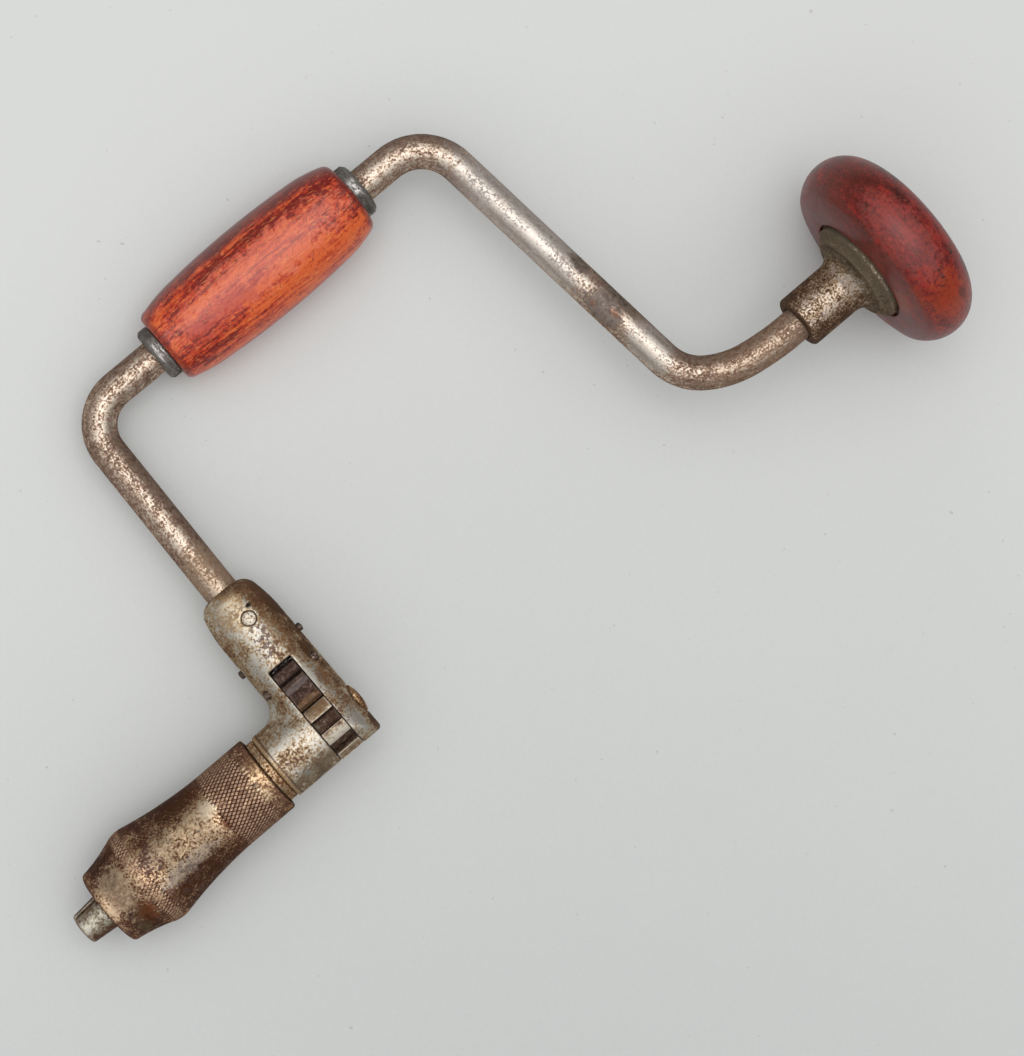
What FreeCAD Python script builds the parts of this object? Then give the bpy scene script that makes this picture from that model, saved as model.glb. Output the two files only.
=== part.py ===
import FreeCAD, Part
import math
import os
import Sketcher

# Bit brace: a cranked bar with a turning wooden grip and head, an open ratchet box
# and a two-jaw chuck. Millimetres and degrees.
# X runs along the spindle from the mouth of the jaws (X = 0) to the wooden head,
# Y points from the spindle to the bow of the crank, and Z is up.

Vector = FreeCAD.Vector
Rotation = FreeCAD.Rotation

SIZES = {
    # Crank: a round bar bent into a bow
    "bar_diameter": 11.5,
    "sweep_radius": 127.0,
    "lower_arm_x": 102.95,
    "lower_arm_lean": 1.5,
    "lean_bend_radius": 200.0,
    "lower_elbow_radius": 15.0,
    "upper_elbow_radius": 17.0,
    "upper_arm_slant": 6.4,
    "foot_tight_radius": 18.0,
    "foot_middle_radius": 35.0,
    "foot_wide_radius": 100.0,
    "foot_middle_angle": 35.0,
    "foot_wide_angle": 10.0,
    "foot_end_x": 301.1,
    "bar_shoulder_x": 309.0,
    "journal_diameter": 9.0,
    "journal_thread_diameter": 8.0,
    # Ratchet box: the neck on the spindle and the round arm on the bar
    "neck_radius": 12.1,
    "neck_start_x": 79.72,
    "neck_edge_chamfer": 0.5,
    "neck_blend_radius": 6.5,
    "arm_radius": 11.6,
    "arm_axis_x": 102.7,
    "arm_taper_y": 38.0,
    "arm_taper_curve": 56.0,
    "arm_shoulder_y": 49.8,
    "arm_shoulder_radius": 10.35,
    "arm_shoulder_curve": 5.9,
    "arm_top_y": 54.2,
    "arm_top_radius": 6.2,
    "ear_end_radius": 12.4,
    "ear_end_round": 1.4,
    "slot_start_x": 97.7,
    "slot_width": 9.0,
    "slot_end_y": 24.1,
    "spring_chamber_end_y": 32.8,
    "spring_chamber_height": 6.2,
    "socket_floor_y": 34.0,
    "button_seat_x": 113.6,
    "button_seat_radius": 5.6,
    # Rivet and pins of the box
    "rivet_x": 104.3,
    "rivet_y": 41.5,
    "rivet_diameter": 4.9,
    "rivet_head_rise": 0.35,
    "spring_pin_y": 29.6,
    "spring_pin_diameter": 2.9,
    "spring_pin_stand_out": 0.6,
    "spring_pin_dome": 0.35,
    "pawl_pin_y": 19.1,
    "pawl_pin_z": 5.7,
    "pawl_pin_diameter": 3.0,
    "pawl_pin_clearance": 0.05,
    # Ratchet wheel
    "wheel_radius": 12.45,
    "wheel_root_radius": 9.5,
    "wheel_notches": 8,
    "wheel_notch_width": 4.9,
    "wheel_first_notch_angle": 2.5,
    "wheel_side_clearance": 0.1,
    # Pawls: drawn engaged with the wheel, held thrown out by the throw angle
    "pawl_side_clearance": 0.1,
    "pawl_throw_angle": 12.5,
    "pawl_boss_radius": 4.0,
    "pawl_spring_flat": 3.85,
    "pawl_tip_radius": 10.83,
    "pawl_tip_outer_angle": 38.8,
    "pawl_tip_inner_angle": 49.6,
    "pawl_shoulder_radius": 12.45,
    "pawl_shoulder_angle": 39.0,
    "pawl_wheel_clearance": 0.45,
    "pawl_heel_angle": 49.0,
    "pawl_hollow_end_angle": 74.5,
    "pawl_ridge_front": 5.7,
    "pawl_ridge_front_height": 5.0,
    "pawl_ridge_top": 4.5,
    "pawl_ridge_top_height": 6.2,
    "pawl_ridge_back": 3.0,
    "pawl_ridge_back_height": 6.3,
    "pawl_back_start": 1.4,
    "pawl_back_height": 4.3,
    "pawl_tail_length": 3.5,
    "pawl_tail_height": 3.2,
    "pawl_tail_bevel": 1.2,
    # Pawl spring
    "pawl_spring_width": 6.0,
    "pawl_spring_thickness": 0.7,
    "pawl_spring_gap": 0.15,
    "pawl_spring_tip_y": 15.6,
    # Spindle
    "shank_diameter": 15.0,
    "running_clearance": 0.05,
    "end_clearance": 0.1,
    "wheel_seat_side": 10.0,
    "wheel_seat_corner_radius": 6.3,
    "ear_journal_diameter": 8.6,
    "collar_radius": 11.43,
    "collar_start_x": 76.8,
    "collar_edge_round": 0.35,
    "thread_relief_radius": 9.7,
    "thread_relief_width": 2.4,
    "chuck_thread_radius": 10.6,
    "chuck_thread_start_x": 43.6,
    "chuck_front_radius": 10.4,
    "chuck_front_x": 18.9,
    "chuck_front_chamfer": 0.8,
    "jaw_slot_width": 8.6,
    "tang_socket_side": 7.4,
    "tang_socket_end_x": 58.0,
    # End screw of the spindle
    "button_diameter": 10.3,
    "button_tip_x": 115.5,
    "button_edge": 0.9,
    "end_screw_diameter": 5.0,
    "end_screw_length": 9.0,
    # Chuck shell
    "shell_front_x": 10.4,
    "shell_front_radius": 12.6,
    "shell_front_round": 1.2,
    "shell_nose_radius": 13.55,
    "shell_ring_foot_x": 23.9,
    "shell_ring_foot_radius": 16.75,
    "shell_ring_end_x": 29.6,
    "shell_ring_end_radius": 17.2,
    "shell_ring_curve": 9.5,
    "shell_waist_x": 57.0,
    "shell_waist_radius": 13.85,
    "shell_nose_curve": 55.0,
    "shell_waist_curve": 150.0,
    "shell_end_x": 76.7,
    "shell_end_chamfer": 0.4,
    "shell_mouth_radius": 8.6,
    "shell_mouth_length": 2.1,
    "shell_mouth_chamfer": 0.6,
    "shell_cone_angle": 21.0,
    "shell_bore_radius": 11.6,
    "shell_thread_start_x": 49.0,
    "shell_thread_end_x": 71.0,
    "shell_counterbore_radius": 12.0,
    # Jaws
    "chuck_turn": 36.0,
    "jaw_gap": 1.6,
    "jaw_tip_radius": 5.5,
    "jaw_tip_round": 1.0,
    "jaw_neck_x": 9.6,
    "jaw_neck_radius": 6.3,
    "jaw_cone_start_x": 13.0,
    "jaw_cone_clearance": 0.35,
    "jaw_shoulder_radius": 9.8,
    "jaw_head_end_x": 18.2,
    "jaw_side_clearance": 0.1,
    "jaw_slope_start_x": 24.0,
    "jaw_pivot_x": 42.5,
    "jaw_pivot_height": 5.0,
    "jaw_heel_radius": 3.0,
    "jaw_heel_clearance": 0.3,
    "bit_socket_radius": 3.2,
    "bit_socket_length": 14.0,
    "tang_groove_depth": 3.6,
    "tang_groove_end_x": 31.0,
    # Jaw spring
    "jaw_spring_wire": 1.1,
    "jaw_spring_leg_height": 1.5,
    "jaw_spring_side": 3.6,
    "jaw_spring_clearance": 0.35,
    "jaw_spring_tip_x": 32.0,
    "jaw_spring_bend_x": 43.6,
    # Sweep grip and its collars
    "lower_collar_x": 135.24,
    "upper_collar_x": 218.55,
    "grip_collar_width": 4.2,
    "grip_collar_radius": 9.45,
    "grip_collar_round": 1.1,
    "grip_end_gap": 0.15,
    "grip_bore_clearance": 0.08,
    "grip_end_radius": 11.7,
    "grip_lower_shoulder": 2.9,
    "grip_lower_shoulder_radius": 13.45,
    "grip_lower_swell": 16.5,
    "grip_upper_swell": 65.5,
    "grip_swell_radius": 15.6,
    "grip_upper_shoulder": 77.0,
    "grip_upper_shoulder_radius": 13.2,
    "grip_end_curve": 3.4,
    "grip_lower_curve": 60.0,
    "grip_middle_curve": 300.0,
    "grip_upper_curve": 45.0,
    # Head: quill, washer, nut and wooden pad
    "quill_start_x": 303.7,
    "quill_lip_round": 1.3,
    "quill_barrel_radius": 9.35,
    "quill_mouth_clearance": 0.35,
    "quill_flare_x": 321.5,
    "quill_flare_radius": 5.6,
    "quill_flange_radius": 18.3,
    "quill_flange_x": 329.3,
    "quill_flange_depth": 1.5,
    "quill_flange_round": 1.2,
    "quill_stub_radius": 10.5,
    "quill_stub_length": 13.0,
    "quill_cavity_radius": 8.2,
    "quill_cavity_x": 333.0,
    "thrust_washer_thickness": 1.3,
    "thrust_washer_rim": 0.4,
    "head_nut_across_flats": 13.0,
    "head_nut_thickness": 5.0,
    "journal_stand_out": 1.2,
    "head_radius": 35.75,
    "head_rim_upper_radius": 12.3,
    "head_rim_lower_radius": 12.9,
    "head_rim_x": 342.8,
    "head_crease_angle": 49.0,
    "head_underside_curve": 31.6,
    "head_face_x": 330.95,
    "head_end_x": 355.9,
    "head_dome_curve": 330.0,
    "head_recess_radius": 19.2,
    "head_bore_end_gap": 0.3,
}

DOC = FreeCAD.newDocument("bit_brace")
SHEET = DOC.addObject("Spreadsheet::Sheet", "Sizes")
for row, (alias, number) in enumerate(SIZES.items(), start=1):
    SHEET.set(f"A{row}", alias)
    SHEET.set(f"B{row}", str(number))
    SHEET.setAlias(f"B{row}", alias)
DOC.recompute()

PARTS = []


# Expressions and sketches

def value(expression):
    """Number that an expression on the sheet gives."""
    return float(SHEET.evalExpression(str(expression)))


def cell(name):
    """Expression for one size of the sheet."""
    return f"Sizes.{name}"


def origin_feature(body, role):
    """Plane or axis of a body's own origin."""
    return next(part for part in body.Origin.OriginFeatures if part.Role == role)


def new_body(label, y="0", z="0", turn=None):
    """Body of one piece, moved to y and z and turned about X."""
    body = DOC.addObject("PartDesign::Body", label)
    body.Label = label
    if turn is not None:
        body.Placement = FreeCAD.Placement(Vector(0, 0, 0), Rotation(Vector(1, 0, 0), value(turn)))
        body.setExpression("Placement.Rotation.Angle", turn)
    body.setExpression("Placement.Base.y", y)
    body.setExpression("Placement.Base.z", z)
    PARTS.append(body)
    return body


def new_sketch(body, label, plane, offset="0"):
    """Empty sketch on a plane of the body's origin, moved along the plane's normal."""
    sketch = body.newObject("Sketcher::SketchObject", f"{body.Label}_{label}")
    sketch.AttachmentSupport = [(origin_feature(body, plane), "")]
    sketch.MapMode = "FlatFace"
    sketch.setExpression("AttachmentOffset.Base.z", offset)
    return sketch


def arc_centre(first, last, radius, side):
    """Centre of the short arc from first to last, on the left (+1) or right (-1) of the way."""
    chord = last - first
    half = chord.Length / 2
    reach = math.sqrt(max(radius * radius - half * half, 0.0))
    left = Vector(-chord.y, chord.x, 0)
    left.normalize()
    return (first + last) / 2 + left * (side * reach)


def add_edge(sketch, first, last, bend):
    """Line or arc from first to last. Returns its index and the ends' positions on it."""
    if bend is None:
        return sketch.addGeometry(Part.LineSegment(first, last)), 1, 2
    radius, side = bend
    centre = arc_centre(first, last, value(radius), side)
    angles = [math.atan2(point.y - centre.y, point.x - centre.x) for point in (first, last)]
    if side < 0:
        angles.reverse()
    circle = Part.Circle(centre, Vector(0, 0, 1), (first - centre).Length)
    index = sketch.addGeometry(Part.ArcOfCircle(circle, angles[0], angles[1]))
    bound = sketch.addConstraint(Sketcher.Constraint("Radius", index, circle.Radius))
    sketch.setExpression(f"Constraints[{bound}]", str(radius))
    return (index, 1, 2) if side > 0 else (index, 2, 1)


def pin_point(sketch, index, position, x, y):
    """Holds one end of an edge at x, y."""
    for kind, expression in (("DistanceX", x), ("DistanceY", y)):
        constraint = Sketcher.Constraint(kind, -1, 1, index, position, value(expression))
        bound = sketch.addConstraint(constraint)
        sketch.setExpression(f"Constraints[{bound}]", str(expression))


def outline(body, label, plane, points, offset="0", closed=True):
    """Sketch through points (x, y) or (x, y, radius, side), where an arc starts at the point."""
    sketch = new_sketch(body, label, plane, offset)
    places = [Vector(value(point[0]), value(point[1]), 0) for point in points]
    count = len(points) if closed else len(points) - 1
    edges = []
    for number in range(count):
        point = points[number]
        bend = (point[2], point[3]) if len(point) > 2 else None
        edges.append(add_edge(sketch, places[number], places[(number + 1) % len(points)], bend))
    for number, (index, start, end) in enumerate(edges):
        pin_point(sketch, index, start, points[number][0], points[number][1])
        if closed or number + 1 < count:
            follower, follower_start, _ = edges[(number + 1) % count]
            sketch.addConstraint(
                Sketcher.Constraint("Coincident", index, end, follower, follower_start))
    if not closed:
        index, _, end = edges[-1]
        pin_point(sketch, index, end, points[-1][0], points[-1][1])
    return sketch


def add_circle(sketch, x, y, radius):
    """Circle of a sketch."""
    centre = Vector(value(x), value(y), 0)
    index = sketch.addGeometry(Part.Circle(centre, Vector(0, 0, 1), value(radius)))
    pin_point(sketch, index, 3, x, y)
    bound = sketch.addConstraint(Sketcher.Constraint("Radius", index, value(radius)))
    sketch.setExpression(f"Constraints[{bound}]", str(radius))


def circle_sketch(body, label, plane, x, y, radius, offset="0"):
    """Sketch with one circle."""
    sketch = new_sketch(body, label, plane, offset)
    add_circle(sketch, x, y, radius)
    return sketch


# Features

def add_feature(body, kind, label, sketch=None):
    """New feature of a body, on a sketch."""
    feature = body.newObject(f"PartDesign::{kind}", f"{body.Label}_{label}")
    if sketch is not None:
        feature.Profile = sketch
    return feature


def pad(body, label, sketch, length, both_ways=False, reverse=False):
    """Pad along the sketch's normal."""
    feature = add_feature(body, "Pad", label, sketch)
    feature.SideType = "Symmetric" if both_ways else "One side"
    feature.Reversed = reverse
    feature.setExpression("Length", length)
    return feature


def pocket(body, label, sketch, length, both_ways=False, reverse=False):
    """Pocket against the sketch's normal. Stops the build if nothing is cut."""
    DOC.recompute()
    before = body.Shape.Volume
    feature = add_feature(body, "Pocket", label, sketch)
    feature.SideType = "Symmetric" if both_ways else "One side"
    feature.Reversed = reverse
    feature.setExpression("Length", length)
    DOC.recompute()
    if not body.Shape.Volume < before:
        raise RuntimeError(f"{feature.Label} cuts nothing")
    return feature


def turn_about(body, label, sketch, axis):
    """Full revolution of a sketch about an axis."""
    feature = add_feature(body, "Revolution", label, sketch)
    feature.ReferenceAxis = axis
    feature.Angle = 360
    return feature


def turned(body, label, points):
    """Revolution of a profile about the body's X axis."""
    sketch = outline(body, f"{label}_profile", "XY_Plane", points)
    return turn_about(body, label, sketch, (origin_feature(body, "X_Axis"), [""]))


def add_axis(sketch, x, y_low, y_high):
    """Line of a sketch that a revolution turns about."""
    ends = [Vector(value(x), value(y), 0) for y in (y_low, y_high)]
    index = sketch.addGeometry(Part.LineSegment(*ends))
    pin_point(sketch, index, 1, x, y_low)
    pin_point(sketch, index, 2, x, y_high)


def bored(body, label, radius, start, end):
    """Round bore along the body's X axis, from start to end."""
    sketch = circle_sketch(body, f"{label}_circle", "YZ_Plane", "0", "0", radius, start)
    return pocket(body, label, sketch, f"{end} - ({start})", reverse=True)


def square(side):
    """Corners of a square of the given side, centred on the axis."""
    half = f"{side} / 2"
    return [(half, half), (f"-{half}", half), (f"-{half}", f"-{half}"), (half, f"-{half}")]


def rectangle(x_low, x_high, y_low, y_high):
    """Corners of a rectangle."""
    return [(x_low, y_low), (x_high, y_low), (x_high, y_high), (x_low, y_high)]


# Values that several pieces share

BAR_RADIUS = "Sizes.bar_diameter / 2"
SLOT_END_X = "(Sizes.slot_start_x + Sizes.slot_width)"
SLOT_MIDDLE_X = "(Sizes.slot_start_x + Sizes.slot_width / 2)"
SPRING_PIN_RADIUS = "(Sizes.spring_pin_diameter / 2)"
PAWL_PIN_RADIUS = "(Sizes.pawl_pin_diameter / 2)"
JOURNAL_RADIUS = "(Sizes.journal_diameter / 2)"
UPPER_TURN = "(90 - Sizes.upper_arm_slant)"
LEG_OUTSIDE = "(Sizes.pawl_pin_z - Sizes.pawl_spring_flat - Sizes.pawl_spring_gap)"
FLANGE_BACK_X = "(Sizes.head_face_x + Sizes.quill_flange_depth)"
STUB_END_X = "(Sizes.head_face_x + Sizes.quill_stub_length)"
SHELL_CONE_END_X = (
    "(Sizes.shell_front_x + Sizes.shell_mouth_length"
    " + (Sizes.shell_bore_radius - Sizes.shell_mouth_radius) / tan(Sizes.shell_cone_angle))")


# Crank

def crank_path():
    """Centre line of the bar in the plane of the bow, from the box to the bearing shoulder."""
    lean = cell("lower_arm_lean")
    slant = cell("upper_arm_slant")
    bend_x = f"(Sizes.lower_arm_x + Sizes.lean_bend_radius * (1 - cos({lean})))"
    bend_y = f"(Sizes.arm_top_y + Sizes.lean_bend_radius * sin({lean}))"
    lower_run = f"(Sizes.lower_elbow_radius * tan((90 - {lean}) / 2))"
    lower_corner_x = f"({bend_x} + (Sizes.sweep_radius - {bend_y}) * tan({lean}))"
    upper_run = f"(Sizes.upper_elbow_radius * tan({UPPER_TURN} / 2))"
    wide = cell("foot_wide_angle")
    middle = cell("foot_middle_angle")
    wide_x = f"(Sizes.foot_end_x - Sizes.foot_wide_radius * sin({wide}))"
    wide_y = f"(Sizes.foot_wide_radius * (1 - cos({wide})))"
    middle_x = f"({wide_x} - Sizes.foot_middle_radius * (sin({middle}) - sin({wide})))"
    middle_y = f"({wide_y} + Sizes.foot_middle_radius * (cos({wide}) - cos({middle})))"
    tight_x = f"({middle_x} - Sizes.foot_tight_radius * (sin({UPPER_TURN}) - sin({middle})))"
    tight_y = f"({middle_y} + Sizes.foot_tight_radius * (cos({middle}) - cos({UPPER_TURN})))"
    upper_corner_x = f"({tight_x} - (Sizes.sweep_radius - {tight_y}) * tan({slant}))"
    return [
        (cell("lower_arm_x"), cell("socket_floor_y")),
        (cell("lower_arm_x"), cell("arm_top_y"), cell("lean_bend_radius"), -1),
        (bend_x, bend_y),
        (f"{lower_corner_x} - {lower_run} * sin({lean})",
         f"Sizes.sweep_radius - {lower_run} * cos({lean})", cell("lower_elbow_radius"), -1),
        (f"{lower_corner_x} + {lower_run}", cell("sweep_radius")),
        (f"{upper_corner_x} - {upper_run}", cell("sweep_radius"),
         cell("upper_elbow_radius"), -1),
        (f"{upper_corner_x} + {upper_run} * sin({slant})",
         f"Sizes.sweep_radius - {upper_run} * cos({slant})"),
        (tight_x, tight_y, cell("foot_tight_radius"), 1),
        (middle_x, middle_y, cell("foot_middle_radius"), 1),
        (wide_x, wide_y, cell("foot_wide_radius"), 1),
        (cell("foot_end_x"), "0"),
        (cell("bar_shoulder_x"), "0"),
    ]


def make_crank():
    """Bent bar, its reduced end for the head, and the hole of the socket rivet."""
    body = new_body("crank")
    path = outline(body, "centre_line", "XY_Plane", crank_path(), closed=False)
    section = circle_sketch(body, "section", "XZ_Plane", cell("lower_arm_x"), "0", BAR_RADIUS,
                            "-Sizes.socket_floor_y")
    sweep = add_feature(body, "AdditivePipe", "bar", section)
    sweep.Spine = (path, [])
    DOC.recompute()
    journal = circle_sketch(body, "journal_circle", "YZ_Plane", "0", "0", JOURNAL_RADIUS,
                            cell("bar_shoulder_x"))
    pad(body, "journal", journal, "Sizes.quill_cavity_x - Sizes.bar_shoulder_x")
    thread = circle_sketch(body, "thread_circle", "YZ_Plane", "0", "0",
                           "Sizes.journal_thread_diameter / 2", cell("quill_cavity_x"))
    pad(body, "thread", thread,
        "Sizes.end_clearance + Sizes.head_nut_thickness + Sizes.journal_stand_out")
    hole = circle_sketch(body, "rivet_circle", "XY_Plane", cell("rivet_x"), cell("rivet_y"),
                         "Sizes.rivet_diameter / 2")
    pocket(body, "rivet_hole", hole, "Sizes.bar_diameter * 2", both_ways=True)


# Ratchet box and what is fixed in it

def make_ratchet_box():
    """Neck and arm blended into each other, slotted into two ears."""
    body = new_body("ratchet_box")
    centre = cell("arm_axis_x")
    bottom = "-Sizes.ear_end_radius * 2"
    arm = outline(body, "arm_profile", "XY_Plane", [
        (centre, bottom),
        (f"{centre} + Sizes.arm_radius", bottom),
        (f"{centre} + Sizes.arm_radius", cell("arm_taper_y"), cell("arm_taper_curve"), 1),
        (f"{centre} + Sizes.arm_shoulder_radius", cell("arm_shoulder_y"),
         cell("arm_shoulder_curve"), 1),
        (f"{centre} + Sizes.arm_top_radius", cell("arm_top_y")),
        (centre, cell("arm_top_y")),
    ])
    arm_axis = new_sketch(body, "arm_axis", "XY_Plane")
    add_axis(arm_axis, centre, bottom, cell("arm_top_y"))
    turn_about(body, "arm", arm, (arm_axis, ["Edge1"]))
    far_side = "(Sizes.arm_axis_x + Sizes.arm_radius * 1.5)"
    joined = turned(body, "neck", [
        (cell("neck_start_x"), "0"),
        (far_side, "0"),
        (far_side, "-Sizes.neck_radius"),
        ("Sizes.neck_start_x + Sizes.neck_edge_chamfer", "-Sizes.neck_radius"),
        (cell("neck_start_x"), "-Sizes.neck_radius + Sizes.neck_edge_chamfer"),
    ])
    DOC.recompute()
    blend = add_feature(body, "Fillet", "neck_blend")
    blend.Base = (joined, junction_edges(joined.Shape))
    blend.setExpression("Radius", cell("neck_blend_radius"))
    DOC.recompute()
    below = rectangle(SLOT_END_X, f"{far_side} + 1", "-Sizes.ear_end_radius * 3",
                      cell("slot_end_y"))
    pocket(body, "right_of_slot", outline(body, "right_of_slot_outline", "XY_Plane", below),
           "Sizes.arm_radius * 8", both_ways=True)
    make_outer_ear(body)
    slot = rectangle(cell("slot_start_x"), SLOT_END_X, "-Sizes.ear_end_radius * 3",
                     cell("slot_end_y"))
    pocket(body, "slot", outline(body, "slot_outline", "XY_Plane", slot),
           "Sizes.arm_radius * 4", both_ways=True)
    trim_ear_end(body, "inner_ear_end", cell("neck_radius"), "0", SLOT_MIDDLE_X)
    trim_ear_end(body, "outer_ear_end", cell("ear_end_radius"), SLOT_MIDDLE_X,
                 "Sizes.arm_axis_x * 2")
    make_box_bores(body)


def junction_edges(shape):
    """Edges on the bow's side where the neck meets the round arm."""
    least_length = value("Sizes.neck_blend_radius / 5")
    names = []
    for number, edge in enumerate(shape.Edges, start=1):
        middle = edge.valueAt((edge.FirstParameter + edge.LastParameter) / 2)
        from_neck_axis = math.hypot(middle.y, middle.z)
        from_arm_axis = math.hypot(middle.x - value("Sizes.arm_axis_x"), middle.z)
        on_neck = abs(from_neck_axis - value("Sizes.neck_radius")) < 1e-3
        on_arm = abs(from_arm_axis - value("Sizes.arm_radius")) < 1e-3
        if on_neck and on_arm and middle.y > 0 and edge.Length > least_length:
            names.append(f"Edge{number}")
    return names


def make_outer_ear(body):
    """The ear on the far side of the slot is a slice of the round arm."""
    inset = f"({SLOT_END_X} - Sizes.arm_axis_x)"
    half_chord = f"sqrt(Sizes.arm_radius * Sizes.arm_radius - {inset} * {inset})"
    tip_x = "(Sizes.arm_axis_x + Sizes.arm_radius)"
    ear = outline(body, "outer_ear_outline", "XZ_Plane", [
        (SLOT_END_X, half_chord),
        (SLOT_END_X, f"-{half_chord}", cell("arm_radius"), 1),
        (tip_x, "0", cell("arm_radius"), 1),
    ], "-Sizes.slot_end_y - 1")
    pad(body, "outer_ear", ear, "Sizes.slot_end_y + 1 + Sizes.ear_end_radius * 2")


def trim_ear_end(body, label, radius, start, end):
    """The ear between start and end is rounded off about the spindle."""
    low = "-Sizes.ear_end_radius * 3"
    side = "Sizes.arm_radius * 1.5"
    trim = outline(body, f"{label}_outline", "YZ_Plane", [
        ("0", f"-{radius}", radius, -1),
        (f"-{radius}", "0", radius, -1),
        ("0", radius),
        ("0", side),
        (low, side),
        (low, f"-{side}"),
        ("0", f"-{side}"),
    ], start)
    pocket(body, label, trim, f"{end} - {start}", reverse=True)


def make_box_bores(body):
    """Bores for the spindle, the bar, the pins and the rivet, and the spring's chamber."""
    bored(body, "neck_bore", "Sizes.shank_diameter / 2 + Sizes.running_clearance",
          "Sizes.neck_start_x - 1", SLOT_MIDDLE_X)
    bored(body, "ear_bore", "Sizes.ear_journal_diameter / 2 + Sizes.running_clearance",
          SLOT_MIDDLE_X, "Sizes.button_tip_x + 1")
    bored(body, "button_seat", cell("button_seat_radius"), cell("button_seat_x"),
          "Sizes.button_tip_x + 1")
    half = "Sizes.spring_chamber_height / 2"
    chamber = rectangle("Sizes.slot_end_y - 1", "Sizes.spring_chamber_end_y", f"-{half}", half)
    pocket(body, "spring_chamber",
           outline(body, "chamber_outline", "YZ_Plane", chamber, cell("slot_start_x")),
           cell("slot_width"), reverse=True)
    socket = circle_sketch(body, "socket_circle", "XZ_Plane", cell("lower_arm_x"), "0",
                           BAR_RADIUS, "-Sizes.arm_top_y")
    pocket(body, "bar_socket", socket, "Sizes.arm_top_y - Sizes.socket_floor_y", reverse=True)
    through = "Sizes.arm_radius * 4"
    rivet = circle_sketch(body, "rivet_circle", "XY_Plane", cell("rivet_x"), cell("rivet_y"),
                          "Sizes.rivet_diameter / 2")
    pocket(body, "rivet_hole", rivet, through, both_ways=True)
    spring_pin = circle_sketch(body, "spring_pin_circle", "YZ_Plane", cell("spring_pin_y"), "0",
                               SPRING_PIN_RADIUS, cell("arm_axis_x"))
    pocket(body, "spring_pin_hole", spring_pin, through, both_ways=True)
    for side, name in (("", "near"), ("-", "far")):
        pin = circle_sketch(body, f"{name}_pin_circle", "YZ_Plane", cell("pawl_pin_y"),
                            f"{side}Sizes.pawl_pin_z", PAWL_PIN_RADIUS, cell("arm_axis_x"))
        pocket(body, f"{name}_pin_hole", pin, through, both_ways=True)
    round_outer_ear(body)


def round_outer_ear(body):
    """Rounds the corner where the outer ear's side meets its round end."""
    DOC.recompute()
    sharp = body.Tip
    names = []
    for number, edge in enumerate(sharp.Shape.Edges, start=1):
        middle = edge.valueAt((edge.FirstParameter + edge.LastParameter) / 2)
        reach = math.hypot(middle.x - value("Sizes.arm_axis_x"), middle.z)
        on_end = abs(math.hypot(middle.y, middle.z) - value("Sizes.ear_end_radius")) < 1e-3
        on_side = abs(reach - value("Sizes.arm_radius")) < 1e-3
        if on_end and on_side and middle.y < 0 and middle.x > value(SLOT_END_X):
            names.append(f"Edge{number}")
    round_over = add_feature(body, "Fillet", "outer_ear_round")
    round_over.Base = (sharp, names)
    round_over.setExpression("Radius", cell("ear_end_round"))


def make_socket_rivet():
    """Rivet through the socket, with low domed heads."""
    body = new_body("socket_rivet")
    radius = "Sizes.rivet_diameter / 2"
    side = "(Sizes.rivet_x - Sizes.arm_axis_x)"
    skin = f"sqrt(Sizes.arm_radius * Sizes.arm_radius - {side} * {side})"
    tip = f"({skin} + Sizes.rivet_head_rise)"
    dome = (f"(({radius}) * ({radius}) / (2 * Sizes.rivet_head_rise)"
            f" + Sizes.rivet_head_rise / 2)")
    profile = outline(body, "profile", "XZ_Plane", [
        ("0", f"-{tip}", dome, 1),
        (radius, f"-{skin}"),
        (radius, skin, dome, 1),
        ("0", tip),
    ])
    body.setExpression("Placement.Base.x", cell("rivet_x"))
    body.setExpression("Placement.Base.y", cell("rivet_y"))
    turn_about(body, "rivet", profile, (origin_feature(body, "Z_Axis"), [""]))


def make_pawl_pin(label, side):
    """Pin of a pawl, its ends dressed to the round of the box."""
    reach = "(Sizes.arm_radius * 2)"
    rod = DOC.addObject("Part::Cylinder", f"{label}_rod")
    rod.setExpression("Radius", PAWL_PIN_RADIUS)
    rod.setExpression("Height", f"{reach} * 2")
    rod.Placement = FreeCAD.Placement(Vector(0, 0, 0), Rotation(Vector(0, 1, 0), 90))
    rod.setExpression("Placement.Base.x", f"Sizes.arm_axis_x - {reach}")
    rod.setExpression("Placement.Base.y", cell("pawl_pin_y"))
    rod.setExpression("Placement.Base.z", f"{side} * Sizes.pawl_pin_z")
    envelope = DOC.addObject("Part::Cylinder", f"{label}_envelope")
    envelope.setExpression("Radius", cell("arm_radius"))
    envelope.setExpression("Height", cell("arm_top_y"))
    envelope.Placement = FreeCAD.Placement(Vector(0, 0, 0), Rotation(Vector(1, 0, 0), -90))
    envelope.setExpression("Placement.Base.x", cell("arm_axis_x"))
    pin = DOC.addObject("Part::Common", label)
    pin.Label = label
    pin.Base = rod
    pin.Tool = envelope
    PARTS.append(pin)


def make_spring_pin():
    """Cross pin above the slot, with domed ends that stand proud of the box."""
    body = new_body("spring_pin", y=cell("spring_pin_y"))
    low = "(Sizes.arm_axis_x - Sizes.arm_radius - Sizes.spring_pin_stand_out)"
    high = "(Sizes.arm_axis_x + Sizes.arm_radius + Sizes.spring_pin_stand_out)"
    dome = (f"({SPRING_PIN_RADIUS} * {SPRING_PIN_RADIUS} / (2 * Sizes.spring_pin_dome)"
            f" + Sizes.spring_pin_dome / 2)")
    turned(body, "pin", [
        (low, "0"),
        (high, "0", dome, 1),
        (f"{high} - Sizes.spring_pin_dome", SPRING_PIN_RADIUS),
        (f"{low} + Sizes.spring_pin_dome", SPRING_PIN_RADIUS, dome, 1),
    ])


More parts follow.
